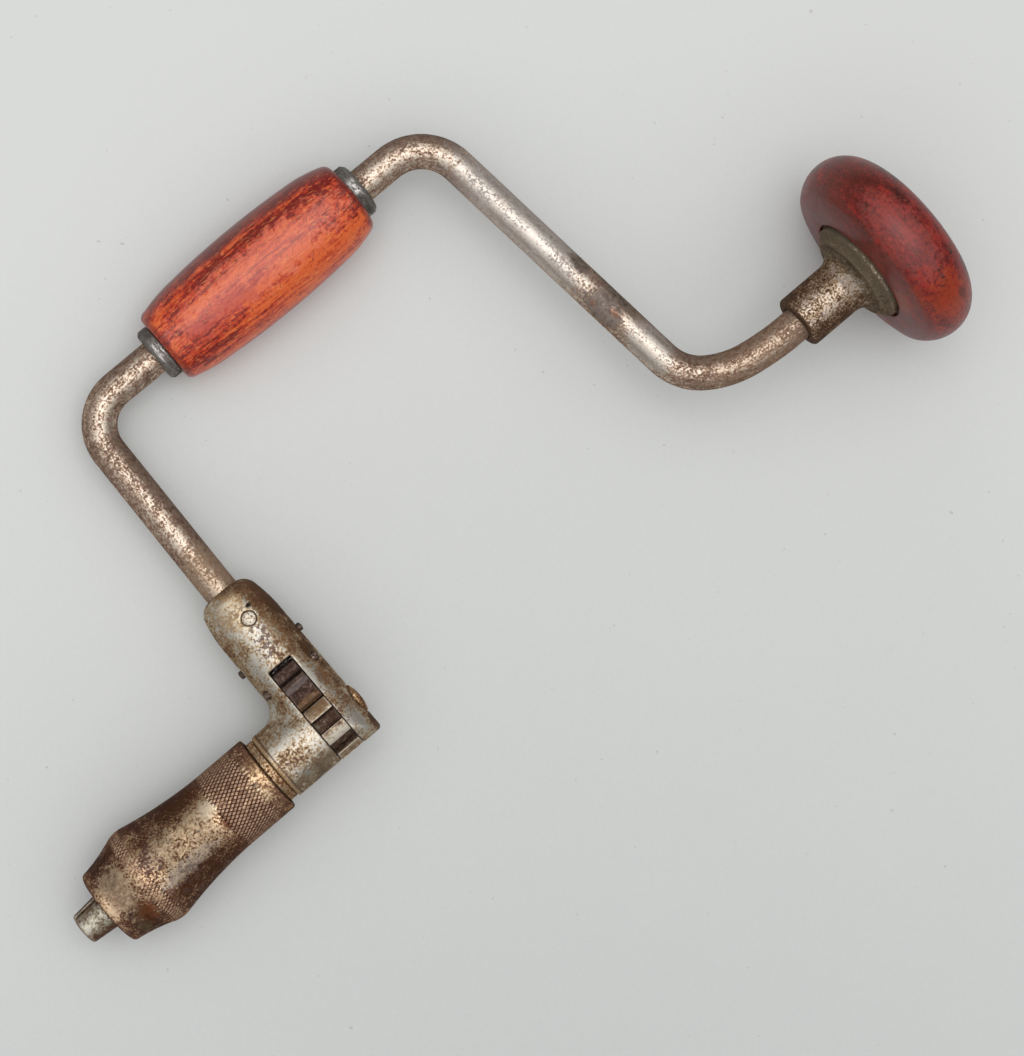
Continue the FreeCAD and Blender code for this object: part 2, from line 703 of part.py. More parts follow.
def make_pawl_spring():
    """Flat hairpin looped round the spring pin, a leg beside each pawl."""
    body = new_body("pawl_spring")
    thickness = cell("pawl_spring_thickness")
    inner_loop = f"({SPRING_PIN_RADIUS} + Sizes.running_clearance * 2)"
    outer_loop = f"({inner_loop} + {thickness})"
    leg_inside = f"({LEG_OUTSIDE} - {thickness})"
    back = "Sizes.spring_pin_y"
    outer_y = f"({back} - sqrt({outer_loop} * {outer_loop} - {LEG_OUTSIDE} * {LEG_OUTSIDE}))"
    inner_y = f"({back} - sqrt({inner_loop} * {inner_loop} - {leg_inside} * {leg_inside}))"
    tip = cell("pawl_spring_tip_y")
    profile = outline(body, "outline", "YZ_Plane", [
        (tip, f"-{LEG_OUTSIDE}"),
        (outer_y, f"-{LEG_OUTSIDE}", outer_loop, 1),
        (back, f"-{outer_loop}", outer_loop, 1),
        (f"{back} + {outer_loop}", "0", outer_loop, 1),
        (back, outer_loop, outer_loop, 1),
        (outer_y, LEG_OUTSIDE),
        (tip, LEG_OUTSIDE),
        (tip, leg_inside),
        (inner_y, leg_inside, inner_loop, -1),
        (back, inner_loop, inner_loop, -1),
        (f"{back} + {inner_loop}", "0", inner_loop, -1),
        (back, f"-{inner_loop}", inner_loop, -1),
        (inner_y, f"-{leg_inside}"),
        (tip, f"-{leg_inside}"),
    ], SLOT_MIDDLE_X)
    pad(body, "strip", profile, cell("pawl_spring_width"), both_ways=True)


def make_pawl(label, side):
    """Pawl with a thumb ridge. It is drawn in the wheel's notch and turned out about its pin."""
    throw = f"{-side} * Sizes.pawl_throw_angle"
    body = new_body(label, cell("pawl_pin_y"), f"{side} * Sizes.pawl_pin_z", throw)

    def polar(radius, angle):
        """Point at a radius and angle on the wheel, seen from the pawl's pin."""
        return (f"{radius} * sin({angle}) - Sizes.pawl_pin_y",
                f"{side} * ({radius} * cos({angle}) - Sizes.pawl_pin_z)")

    hollow = "(Sizes.wheel_radius + Sizes.pawl_wheel_clearance)"
    boss = cell("pawl_boss_radius")
    flat = cell("pawl_spring_flat")
    flat_half = f"sqrt({boss} * {boss} - {flat} * {flat})"
    # The engaged flat faces the spring as drawn, the other one once the pawl is thrown out
    throw_angle = "Sizes.pawl_throw_angle"
    corner_angle = f"(acos({flat} / {boss}) + {throw_angle} * 1 deg)"
    second_y = f"({boss} * sin({corner_angle}))"
    second_z = f"({boss} * cos({corner_angle}))"
    meet_y = f"({flat} * tan({throw_angle} / 2))"
    tail = cell("pawl_tail_length")
    profile = outline(body, "outline", "YZ_Plane", [
        polar("Sizes.pawl_tip_radius", "Sizes.pawl_tip_outer_angle"),
        polar("Sizes.pawl_tip_radius", "Sizes.pawl_tip_inner_angle"),
        (*polar(hollow, "Sizes.pawl_heel_angle"), hollow, -side),
        polar(hollow, "Sizes.pawl_hollow_end_angle"),
        (f"-{flat_half}", f"-{side} * {flat}"),
        (meet_y, f"-{side} * {flat}"),
        (second_y, f"-{side} * {second_z}", boss, side),
        (boss, "0"),
        (tail, f"{side} * Sizes.pawl_tail_height"),
        (f"{tail} - Sizes.pawl_tail_bevel", f"{side} * Sizes.pawl_back_height"),
        ("-Sizes.pawl_back_start", f"{side} * Sizes.pawl_back_height"),
        ("-Sizes.pawl_ridge_back", f"{side} * Sizes.pawl_ridge_back_height"),
        ("-Sizes.pawl_ridge_top", f"{side} * Sizes.pawl_ridge_top_height"),
        ("-Sizes.pawl_ridge_front", f"{side} * Sizes.pawl_ridge_front_height"),
        polar("Sizes.pawl_shoulder_radius", "Sizes.pawl_shoulder_angle"),
    ], SLOT_MIDDLE_X)
    pad(body, "plate", profile, "Sizes.slot_width - Sizes.pawl_side_clearance * 2",
        both_ways=True)
    bore = circle_sketch(body, "pin_circle", "YZ_Plane", "0", "0",
                         f"{PAWL_PIN_RADIUS} + Sizes.pawl_pin_clearance", SLOT_MIDDLE_X)
    pocket(body, "pin_hole", bore, "Sizes.slot_width * 2", both_ways=True)


# Wheel and spindle

def make_ratchet_wheel():
    """Wheel with square notches on the spindle's square."""
    body = new_body("ratchet_wheel", turn=cell("chuck_turn"))
    disc = circle_sketch(body, "disc_circle", "YZ_Plane", "0", "0", cell("wheel_radius"),
                         SLOT_MIDDLE_X)
    thickness = "Sizes.slot_width - Sizes.wheel_side_clearance * 2"
    pad(body, "disc", disc, thickness, both_ways=True)
    angle = "(Sizes.wheel_first_notch_angle + Sizes.chuck_turn)"

    def corner(radius, half):
        """Corner of a notch at a radius, half a width to one side."""
        return (f"({radius}) * sin({angle}) + ({half}) * cos({angle})",
                f"({radius}) * cos({angle}) - ({half}) * sin({angle})")

    half = "Sizes.wheel_notch_width / 2"
    notch = outline(body, "notch_outline", "YZ_Plane", [
        corner("Sizes.wheel_root_radius", f"-{half}"),
        corner("Sizes.wheel_root_radius", half),
        corner("Sizes.wheel_radius + 1", half),
        corner("Sizes.wheel_radius + 1", f"-{half}"),
    ], SLOT_MIDDLE_X)
    cut = pocket(body, "notch", notch, "Sizes.slot_width * 2", both_ways=True)
    pattern = add_feature(body, "PolarPattern", "notches")
    pattern.Originals = [cut]
    pattern.Axis = (origin_feature(body, "X_Axis"), [""])
    pattern.Angle = 360
    pattern.setExpression("Occurrences", cell("wheel_notches"))
    body.Tip = pattern
    DOC.recompute()
    seat = outline(body, "seat_outline", "YZ_Plane", seat_corners(), SLOT_MIDDLE_X)
    pocket(body, "seat", seat, "Sizes.slot_width * 2", both_ways=True)


def seat_corners():
    """Square of the wheel's seat with its corners turned off round."""
    half = "(Sizes.wheel_seat_side / 2)"
    corner = cell("wheel_seat_corner_radius")
    cut = f"sqrt({corner} * {corner} - {half} * {half})"
    points = []
    for sign_y, sign_z in (("", ""), ("-", ""), ("-", "-"), ("", "-")):
        ends = [(f"{sign_y}{half}", f"{sign_z}{cut}"), (f"{sign_y}{cut}", f"{sign_z}{half}")]
        if sign_y != sign_z:
            ends.reverse()
        points += [(*ends[0], corner, 1), ends[1]]
    return points


def make_chuck_spindle():
    """Spindle, collar, threaded chuck body with the jaws' slot and the bit's square socket."""
    body = new_body("chuck_spindle", turn=cell("chuck_turn"))
    shank = "Sizes.shank_diameter / 2"
    collar_end = "(Sizes.neck_start_x - Sizes.end_clearance)"
    seat_start = "(Sizes.slot_start_x + Sizes.wheel_side_clearance)"
    seat_end = f"({SLOT_END_X} - Sizes.wheel_side_clearance)"
    relief_start = "(Sizes.collar_start_x - Sizes.thread_relief_width)"
    edge = cell("collar_edge_round")
    turned(body, "blank", [
        (cell("chuck_front_x"), "0"),
        (cell("button_seat_x"), "0"),
        (cell("button_seat_x"), "Sizes.ear_journal_diameter / 2"),
        (seat_end, "Sizes.ear_journal_diameter / 2"),
        (seat_end, cell("wheel_seat_corner_radius")),
        (seat_start, cell("wheel_seat_corner_radius")),
        (seat_start, shank),
        (collar_end, shank),
        (collar_end, f"Sizes.collar_radius - {edge}", edge, 1),
        (f"{collar_end} - {edge}", cell("collar_radius")),
        (f"Sizes.collar_start_x + {edge}", cell("collar_radius"), edge, 1),
        (cell("collar_start_x"), f"Sizes.collar_radius - {edge}"),
        (cell("collar_start_x"), cell("thread_relief_radius")),
        (relief_start, cell("thread_relief_radius")),
        (relief_start, cell("chuck_thread_radius")),
        (cell("chuck_thread_start_x"), cell("chuck_thread_radius")),
        (cell("chuck_thread_start_x"), cell("chuck_front_radius")),
        ("Sizes.chuck_front_x + Sizes.chuck_front_chamfer", cell("chuck_front_radius")),
        (cell("chuck_front_x"), "Sizes.chuck_front_radius - Sizes.chuck_front_chamfer"),
    ])
    DOC.recompute()
    reach = "Sizes.wheel_radius"
    for name, sign in (("high", ""), ("low", "-")):
        near = f"{sign}Sizes.wheel_seat_side / 2"
        far = f"{sign}{reach}"
        for way, corners in (("z", rectangle(f"-{reach}", reach, near, far)),
                             ("y", rectangle(near, far, f"-{reach}", reach))):
            flat = outline(body, f"{name}_{way}_outline", "YZ_Plane", corners, seat_start)
            pocket(body, f"{name}_{way}_flat", flat, f"{seat_end} - {seat_start}", reverse=True)
    half_slot = "Sizes.jaw_slot_width / 2"
    slot_floor = "(Sizes.jaw_pivot_x + Sizes.jaw_heel_radius + Sizes.jaw_heel_clearance)"
    deep = cell("shell_bore_radius")
    slot = rectangle(f"-{half_slot}", half_slot, f"-{deep}", deep)
    pocket(body, "jaw_slot", outline(body, "jaw_slot_outline", "YZ_Plane", slot,
                                     cell("chuck_front_x")),
           f"{slot_floor} - Sizes.chuck_front_x", reverse=True)
    socket = outline(body, "tang_socket_outline", "YZ_Plane", square("Sizes.tang_socket_side"),
                     slot_floor)
    pocket(body, "tang_socket", socket, f"Sizes.tang_socket_end_x - {slot_floor}", reverse=True)
    bored(body, "end_screw_hole", "Sizes.end_screw_diameter / 2",
          "Sizes.button_seat_x - Sizes.end_screw_length", "Sizes.button_seat_x + 1")


def make_spindle_end_screw():
    """Domed screw that holds the spindle in the outer ear."""
    body = new_body("spindle_end_screw")
    radius = "(Sizes.button_diameter / 2)"
    seat = "(Sizes.button_seat_x + Sizes.running_clearance)"
    edge_x = f"({seat} + Sizes.button_edge)"
    rise = f"(Sizes.button_tip_x - {edge_x})"
    dome = f"({radius} * {radius} / (2 * {rise}) + {rise} / 2)"
    turned(body, "screw", [
        ("Sizes.button_seat_x - Sizes.end_screw_length", "0"),
        (cell("button_tip_x"), "0", dome, 1),
        (edge_x, radius),
        (seat, radius),
        (seat, "Sizes.end_screw_diameter / 2"),
        ("Sizes.button_seat_x - Sizes.end_screw_length", "Sizes.end_screw_diameter / 2"),
    ])


# Chuck shell and jaws

def make_chuck_shell():
    """Sleeve with a coned nose, a swelled ring, a waist and a straight end."""
    body = new_body("chuck_shell")
    front_round = cell("shell_front_round")
    chamfer = cell("shell_end_chamfer")
    mouth_end_x = "(Sizes.shell_front_x + Sizes.shell_mouth_length)"
    thread_bore = "(Sizes.chuck_thread_radius + Sizes.running_clearance)"
    turned(body, "sleeve", [
        (cell("shell_front_x"), "Sizes.shell_mouth_radius + Sizes.shell_mouth_chamfer"),
        ("Sizes.shell_front_x + Sizes.shell_mouth_chamfer", cell("shell_mouth_radius")),
        (mouth_end_x, cell("shell_mouth_radius")),
        (SHELL_CONE_END_X, cell("shell_bore_radius")),
        (cell("shell_thread_start_x"), cell("shell_bore_radius")),
        (cell("shell_thread_start_x"), thread_bore),
        (cell("shell_thread_end_x"), thread_bore),
        (cell("shell_thread_end_x"), cell("shell_counterbore_radius")),
        (cell("shell_end_x"), cell("shell_counterbore_radius")),
        (cell("shell_end_x"), f"Sizes.shell_waist_radius - {chamfer}"),
        (f"Sizes.shell_end_x - {chamfer}", cell("shell_waist_radius")),
        (cell("shell_waist_x"), cell("shell_waist_radius"), cell("shell_waist_curve"), -1),
        (cell("shell_ring_end_x"), cell("shell_ring_end_radius"),
         cell("shell_ring_curve"), 1),
        (cell("shell_ring_foot_x"), cell("shell_ring_foot_radius"), cell("shell_nose_curve"), -1),
        (f"Sizes.shell_front_x + {front_round}", cell("shell_nose_radius"), front_round, 1),
        (cell("shell_front_x"), "Sizes.shell_front_radius"),
    ])


def make_jaw(label, turn, side):
    """Half-round head on a flat shank, with a round heel in the chuck body's slot.

    The side, +1 or -1, is the one that the jaw spring lies on.
    """
    body = new_body(label, turn=turn)
    tip_round = cell("jaw_tip_round")
    cone_start = cell("jaw_cone_start_x")
    cone_low = ("(Sizes.shell_mouth_radius + (Sizes.jaw_cone_start_x - Sizes.shell_front_x"
                " - Sizes.shell_mouth_length) * tan(Sizes.shell_cone_angle)"
                " - Sizes.jaw_cone_clearance)")
    shoulder = cell("jaw_shoulder_radius")
    cone_end = f"({cone_start} + ({shoulder} - {cone_low}) / tan(Sizes.shell_cone_angle))"
    head_end = cell("jaw_head_end_x")
    turned(body, "head", [
        ("0", "0"),
        (head_end, "0"),
        (head_end, shoulder),
        (cone_end, shoulder),
        (cone_start, cone_low),
        (cell("jaw_neck_x"), cell("jaw_neck_radius")),
        (tip_round, cell("jaw_tip_radius"), tip_round, 1),
        ("0", f"Sizes.jaw_tip_radius - {tip_round}"),
    ])
    gap = "(Sizes.jaw_gap / 2)"
    pivot_x = cell("jaw_pivot_x")
    heel = cell("jaw_heel_radius")
    pivot_z = cell("jaw_pivot_height")
    shank = outline(body, "shank_outline", "XZ_Plane", [
        (f"{head_end} - 1", gap),
        (f"{pivot_x} - {heel}", gap),
        (pivot_x, f"{pivot_z} - {heel}", heel, 1),
        (f"{pivot_x} + {heel}", pivot_z, heel, 1),
        (pivot_x, f"{pivot_z} + {heel}"),
        (cell("jaw_slope_start_x"), shoulder),
        (f"{head_end} - 1", shoulder),
    ])
    pad(body, "shank", shank, "Sizes.jaw_slot_width - Sizes.jaw_side_clearance * 2",
        both_ways=True)
    skin = new_sketch(body, "skin_circles", "YZ_Plane")
    add_circle(skin, "0", "0", shoulder)
    add_circle(skin, "0", "0", "Sizes.shell_bore_radius * 2")
    pocket(body, "skin", skin, f"{pivot_x} + {heel} * 2", reverse=True)
    other_half = rectangle("-1", f"{pivot_x} + {heel} * 2", "-Sizes.shell_bore_radius", gap)
    pocket(body, "split", outline(body, "split_outline", "XZ_Plane", other_half),
           "Sizes.shell_bore_radius * 4", both_ways=True)
    bored(body, "bit_groove", cell("bit_socket_radius"), "-1", cell("bit_socket_length"))
    depth = cell("tang_groove_depth")
    diamond = [(depth, "0"), ("0", depth), (f"-{depth}", "0"), ("0", f"-{depth}")]
    tang = outline(body, "tang_outline", "YZ_Plane", diamond, "Sizes.bit_socket_length - 0.5")
    pocket(body, "tang_groove", tang, "Sizes.tang_groove_end_x - Sizes.bit_socket_length + 0.5",
           reverse=True)
    wire = "Sizes.jaw_spring_wire / 2"
    room = cell("jaw_spring_clearance")
    rebate = rectangle(f"{side} * (Sizes.jaw_spring_side - {wire} - {room})",
                       f"{side} * Sizes.shell_bore_radius",
                       "0", f"Sizes.jaw_spring_leg_height + {wire} + {room}")
    pocket(body, "spring_rebate", outline(body, "rebate_outline", "YZ_Plane", rebate,
                                          f"Sizes.jaw_spring_tip_x - {room}"),
           "Sizes.jaw_pivot_x", reverse=True)


def make_jaw_spring():
    """Hairpin of round wire beside the bit's tang, with its bend at the jaws' heels."""
    body = new_body("jaw_spring", turn=cell("chuck_turn"))
    leg = cell("jaw_spring_leg_height")
    bend = cell("jaw_spring_bend_x")
    tip = cell("jaw_spring_tip_x")
    path = outline(body, "centre_line", "XZ_Plane", [
        (tip, f"-{leg}"),
        (bend, f"-{leg}", leg, 1),
        (f"{bend} + {leg}", "0", leg, 1),
        (bend, leg),
        (tip, leg),
    ], "-Sizes.jaw_spring_side", closed=False)
    section = circle_sketch(body, "section", "YZ_Plane", cell("jaw_spring_side"), f"-{leg}",
                            "Sizes.jaw_spring_wire / 2", tip)
    sweep = add_feature(body, "AdditivePipe", "wire", section)
    sweep.Spine = (path, [])


# Sweep grip

def make_grip_collar(label, start, round_first):
    """Collar on the bar, its outer edge rounded on the side away from the grip."""
    body = new_body(label, y=cell("sweep_radius"))
    end = f"({start} + Sizes.grip_collar_width)"
    outer = cell("grip_collar_radius")
    curve = cell("grip_collar_round")
    if round_first:
        corners = [(f"{end}", outer), (f"{start} + {curve}", outer, curve, 1),
                   (start, f"{outer} - {curve}")]
    else:
        corners = [(end, f"{outer} - {curve}", curve, 1), (f"{end} - {curve}", outer),
                   (start, outer)]
    turned(body, "ring", [(start, BAR_RADIUS), (end, BAR_RADIUS), *corners])


def make_sweep_grip():
    """Turned wooden grip that runs freely on the bar between its collars."""
    body = new_body("sweep_grip", y=cell("sweep_radius"))
    start = "(Sizes.lower_collar_x + Sizes.grip_collar_width + Sizes.grip_end_gap)"
    end = "(Sizes.upper_collar_x - Sizes.grip_end_gap)"
    bore = f"({BAR_RADIUS} + Sizes.grip_bore_clearance)"
    swell = cell("grip_swell_radius")
    turned(body, "barrel", [
        (start, bore),
        (end, bore),
        (end, cell("grip_end_radius"), cell("grip_end_curve"), 1),
        (f"{start} + Sizes.grip_upper_shoulder", cell("grip_upper_shoulder_radius"),
         cell("grip_upper_curve"), 1),
        (f"{start} + Sizes.grip_upper_swell", swell, cell("grip_middle_curve"), 1),
        (f"{start} + Sizes.grip_lower_swell", swell, cell("grip_lower_curve"), 1),
        (f"{start} + Sizes.grip_lower_shoulder", cell("grip_lower_shoulder_radius"),
         cell("grip_end_curve"), 1),
        (start, cell("grip_end_radius")),
    ])


# Head

def make_head_quill():
    """Barrel and flange that turn on the bar's end, with a stub screwed into the wood."""
    body = new_body("head_quill")
    start = cell("quill_start_x")
    lip = cell("quill_lip_round")
    barrel = cell("quill_barrel_radius")
    mouth = f"({BAR_RADIUS} + Sizes.quill_mouth_clearance)"
    bore = f"({JOURNAL_RADIUS} + Sizes.running_clearance)"
    counterbore_end = ("(Sizes.bar_shoulder_x + Sizes.thrust_washer_thickness"
                       " + Sizes.running_clearance)")
    flare = cell("quill_flare_radius")
    turned(body, "quill", [
        (start, mouth),
        (counterbore_end, mouth),
        (counterbore_end, bore),
        (cell("quill_cavity_x"), bore),
        (cell("quill_cavity_x"), cell("quill_cavity_radius")),
        (STUB_END_X, cell("quill_cavity_radius")),
        (STUB_END_X, cell("quill_stub_radius")),
        (FLANGE_BACK_X, cell("quill_stub_radius")),
        (FLANGE_BACK_X, cell("quill_flange_radius")),
        ("Sizes.quill_flange_x + Sizes.quill_flange_round", cell("quill_flange_radius"),
         cell("quill_flange_round"), 1),
        (cell("quill_flange_x"), "Sizes.quill_flange_radius - Sizes.quill_flange_round"),
        (f"Sizes.quill_flare_x + {flare}", f"{barrel} + {flare}", flare, -1),
        (cell("quill_flare_x"), barrel),
        (f"{start} + {lip}", barrel, lip, 1),
        (start, f"{barrel} - {lip}"),
    ])


def make_head_thrust_washer():
    """Washer between the bar's shoulder and the quill."""
    body = new_body("head_thrust_washer")
    start = cell("bar_shoulder_x")
    end = "(Sizes.bar_shoulder_x + Sizes.thrust_washer_thickness)"
    inner = f"({JOURNAL_RADIUS} + Sizes.running_clearance)"
    outer = f"({BAR_RADIUS} + Sizes.quill_mouth_clearance - Sizes.thrust_washer_rim)"
    turned(body, "ring", [(start, inner), (end, inner), (end, outer), (start, outer)])


def make_head_retaining_nut():
    """Hexagon nut on the end of the journal."""
    body = new_body("head_retaining_nut")
    start = "(Sizes.quill_cavity_x + Sizes.end_clearance)"
    corner = "(Sizes.head_nut_across_flats / 2 / cos(30))"
    corners = [(f"{corner} * cos({60 * step})", f"{corner} * sin({60 * step})")
               for step in range(6)]
    pad(body, "hexagon", outline(body, "hexagon_outline", "YZ_Plane", corners, start),
        cell("head_nut_thickness"))
    DOC.recompute()
    bored(body, "thread", "Sizes.journal_thread_diameter / 2", f"{start} - 1",
          f"({start} + Sizes.head_nut_thickness + 1)")


def make_head_pad():
    """Turned wooden head: a full round rim, a creased underside and a recess for the flange."""
    body = new_body("head_pad")
    upper = cell("head_rim_upper_radius")
    lower = cell("head_rim_lower_radius")
    rim_centre = f"(Sizes.head_radius - {upper})"
    dome = cell("head_dome_curve")
    rim_end_x = f"(Sizes.head_end_x - {dome} + sqrt({dome} * {dome} - {rim_centre} * {rim_centre}))"
    crease = cell("head_crease_angle")
    crease_x = f"(Sizes.head_rim_x - {lower} * sin({crease}))"
    crease_radius = f"(Sizes.head_radius - {lower} * (1 - cos({crease})))"
    recess = cell("head_recess_radius")
    recess_floor = f"({FLANGE_BACK_X} + Sizes.end_clearance)"
    stub = cell("quill_stub_radius")
    bore_end = f"({STUB_END_X} + Sizes.head_bore_end_gap)"
    turned(body, "wood", [
        (bore_end, "0"),
        (cell("head_end_x"), "0", dome, 1),
        (rim_end_x, rim_centre, upper, 1),
        (cell("head_rim_x"), cell("head_radius"), lower, 1),
        (crease_x, crease_radius, cell("head_underside_curve"), 1),
        (cell("head_face_x"), recess),
        (recess_floor, recess),
        (recess_floor, stub),
        (bore_end, stub),
    ])


def make_parts():
    """Builds every piece."""
    make_crank()
    make_ratchet_box()
    make_socket_rivet()
    make_pawl_pin("near_pawl_pin", 1)
    make_pawl_pin("far_pawl_pin", -1)
    make_spring_pin()
    make_pawl_spring()
    make_pawl("near_pawl", 1)
    make_pawl("far_pawl", -1)
    make_ratchet_wheel()
    make_chuck_spindle()
    make_spindle_end_screw()
    make_chuck_shell()
    make_jaw("near_jaw", cell("chuck_turn"), 1)
    make_jaw("far_jaw", "180 + Sizes.chuck_turn", -1)
    make_jaw_spring()
    make_grip_collar("lower_grip_collar", cell("lower_collar_x"), True)
    make_grip_collar("upper_grip_collar", cell("upper_collar_x"), False)
    make_sweep_grip()
    make_head_quill()
    make_head_thrust_washer()
    make_head_retaining_nut()
    make_head_pad()
    DOC.recompute()


def check_parts():
    """Stops the build if an object failed or a piece isn't one valid solid."""
    for item in DOC.Objects:
        if "Invalid" in item.State or "Error" in item.State:
            raise RuntimeError(f"{item.Label} failed: {item.State}")
    for part in PARTS:
        shape = part.Shape
        if shape.isNull() or not shape.isValid() or len(shape.Solids) != 1:
            raise RuntimeError(f"{part.Label} isn't one valid solid")


def export_parts():
    """Writes one STEP file for each piece."""
    os.makedirs("parts", exist_ok=True)
    for part in PARTS:
        part.Shape.exportStep(f"parts/{part.Label}.step")
        print(part.Label, round(part.Shape.Volume, 1))


make_parts()
check_parts()
export_parts()
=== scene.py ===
"""The looks of a bit brace: worn steel, a knurled chuck shell and stained wood.

Every Blender length is in metres, in the part's own frame: X runs along the spindle from
the jaws to the head, Y points to the bow of the crank and Z is up. Sizes in the classes
are millimetres, and MM turns them into metres.
"""

import logging
import math
from dataclasses import dataclass
from enum import Enum
from typing import Any, Callable, Sequence

import bmesh
import bpy
import numpy as np
from mathutils import Matrix, Vector, noise


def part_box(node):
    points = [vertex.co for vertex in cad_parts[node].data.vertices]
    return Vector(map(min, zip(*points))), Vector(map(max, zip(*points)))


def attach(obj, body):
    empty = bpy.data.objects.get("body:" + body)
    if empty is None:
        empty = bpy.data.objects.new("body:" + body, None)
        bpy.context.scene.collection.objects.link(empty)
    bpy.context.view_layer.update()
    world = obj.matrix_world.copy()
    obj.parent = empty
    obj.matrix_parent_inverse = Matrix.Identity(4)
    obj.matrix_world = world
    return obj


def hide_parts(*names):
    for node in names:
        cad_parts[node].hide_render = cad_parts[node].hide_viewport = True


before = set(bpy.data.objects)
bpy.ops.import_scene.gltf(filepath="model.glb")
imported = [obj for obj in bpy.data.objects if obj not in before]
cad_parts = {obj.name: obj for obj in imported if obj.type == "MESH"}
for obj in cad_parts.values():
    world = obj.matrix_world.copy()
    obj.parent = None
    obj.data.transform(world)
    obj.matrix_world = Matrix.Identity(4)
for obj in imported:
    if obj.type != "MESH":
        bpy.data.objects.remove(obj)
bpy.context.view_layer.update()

LOG = logging.getLogger("bit_brace")
MM = 0.001
Colour = tuple[float, float, float]
Point = tuple[float, float, float]


# Shader and geometry trees

def arithmetic(operation: str, turned: bool = False) -> Callable[["Signal", Any], "Signal"]:
    """Makes the method behind an arithmetic sign.

    Args:
        operation: Blender's name of the operation.
        turned: Whether the signal stands on the right of the sign.

    Returns:
        The method.
    """
    def apply(signal: "Signal", other: Any) -> "Signal":
        """Joins a signal with a number, a vector or another signal."""
        first, second = (other, signal) if turned else (signal, other)
        return signal.tree.math(operation, first, second)
    return apply


class Signal:
    """Output of a node, which takes part in plain arithmetic."""

    __add__, __radd__ = arithmetic("ADD"), arithmetic("ADD", turned=True)
    __sub__, __rsub__ = arithmetic("SUBTRACT"), arithmetic("SUBTRACT", turned=True)
    __mul__, __rmul__ = arithmetic("MULTIPLY"), arithmetic("MULTIPLY", turned=True)
    __truediv__, __rtruediv__ = arithmetic("DIVIDE"), arithmetic("DIVIDE", turned=True)

    def __init__(self, tree: "Tree", socket: bpy.types.NodeSocket) -> None:
        """Holds the socket and its tree."""
        self.tree = tree
        self.socket = socket

    def __abs__(self) -> "Signal":
        """Distance from zero."""
        return self.tree.math("ABSOLUTE", self)


def is_vector(value: Any) -> bool:
    """Whether a value has three parts.

    Args:
        value: Number, vector or signal.

    Returns:
        The answer.
    """
    if isinstance(value, Signal):
        return value.socket.type in ("VECTOR", "RGBA")
    return isinstance(value, (tuple, Vector))


class Step:
    """Node of a tree, whose outputs are signals."""

    def __init__(self, tree: "Tree", node: bpy.types.Node) -> None:
        """Holds the node and its tree."""
        self.tree = tree
        self.node = node

    def __getitem__(self, key: str | int) -> Signal:
        """One output, by its name or number."""
        return Signal(self.tree, self.node.outputs[key])

    def feed(self, inputs: dict[str | int, Any]) -> None:
        """Links signals to the inputs, by name or number, and sets plain values.

        Args:
            inputs: Values or signals for the node's inputs, by name or number.
        """
        for key, given in inputs.items():
            if isinstance(given, Signal):
                self.tree.tree.links.new(given.socket, self.node.inputs[key])
            else:
                self.node.inputs[key].default_value = given


class Tree:
    """Adds nodes to a node tree and links them in the same step."""

    def __init__(self, tree: bpy.types.NodeTree) -> None:
        """Holds the tree that the nodes go into."""
        self.tree = tree

    def node(self, kind: str, inputs: dict[str | int, Any] | None = None,
             **settings: Any) -> Step:
        """Adds one node.

        Args:
            kind: Blender's name of the node type.
            inputs: Values or signals for the node's inputs, by name or number.
            **settings: Properties of the node itself.

        Returns:
            The new node.
        """
        step = Step(self, self.tree.nodes.new(kind))
        for name, setting in settings.items():
            setattr(step.node, name, setting)
        step.feed(inputs or {})
        return step

    def math(self, operation: str, first: Any, second: Any = 0.0) -> Signal:
        """Adds a Math node, or a Vector Math node where either value is a vector.

        Args:
            operation: Blender's name of the operation.
            first: Number, vector or signal.
            second: The same.

        Returns:
            Its result.
        """
        if not (is_vector(first) or is_vector(second)):
            return self.node("ShaderNodeMath", {0: first, 1: second}, operation=operation)[0]
        pair = {key: (value,) * 3 if isinstance(value, float) else value
                for key, value in enumerate((first, second))}
        output = "Value" if operation in ("LENGTH", "DOT_PRODUCT") else "Vector"
        return self.node("ShaderNodeVectorMath", pair, operation=operation)[output]

    def remap(self, value: Signal, low: Any, high: Any, to_low: Any = 0.0,
              to_high: Any = 1.0) -> Signal:
        """Smooth step of a value from low to high, put out between to_low and to_high.

        Args:
            value: Signal to read.
            low: Value at which the step starts.
            high: Value at which it ends.
            to_low: Result at low.
            to_high: Result at high.

        Returns:
            The result.
        """
        return self.node("ShaderNodeMapRange", {
            "Value": value, "From Min": low, "From Max": high, "To Min": to_low,
            "To Max": to_high}, interpolation_type="SMOOTHSTEP")["Result"]

    def mix(self, factor: Any, low: Any, high: Any) -> Signal:
        """Colour between low and high."""
        return self.node("ShaderNodeMix", {0: factor, 6: opaque(low), 7: opaque(high)},
                         data_type="RGBA")[2]

    def between(self, factor: Any, low: float, high: float) -> Signal:
        """Number between low and high."""
        return self.node("ShaderNodeMix", {0: factor, 2: low, 3: high})[0]

    def noise(self, vector: Signal, size: Any, detail: float = 3.0, roughness: float = 0.5,
              warp: float = 0.0) -> Signal:
        """Fractal noise with features of about the given size in millimetres.

        Args:
            vector: Place that the noise reads.
            size: Size of its features.
            detail: Number of finer layers.
            roughness: Share of the finer layers.
            warp: Strength of its distortion.

        Returns:
            Noise between 0 and 1.
        """
        return self.node("ShaderNodeTexNoise", {
            "Vector": vector, "Scale": 1.0 / size, "Detail": detail, "Roughness": roughness,
            "Distortion": warp})["Fac"]

    def bump(self, height: Signal, strength: float, distance: float) -> Signal:
        """Normal of a relief whose distance is in millimetres."""
        return self.node("ShaderNodeBump", {"Height": height, "Strength": strength,
                                            "Distance": distance * MM})["Normal"]


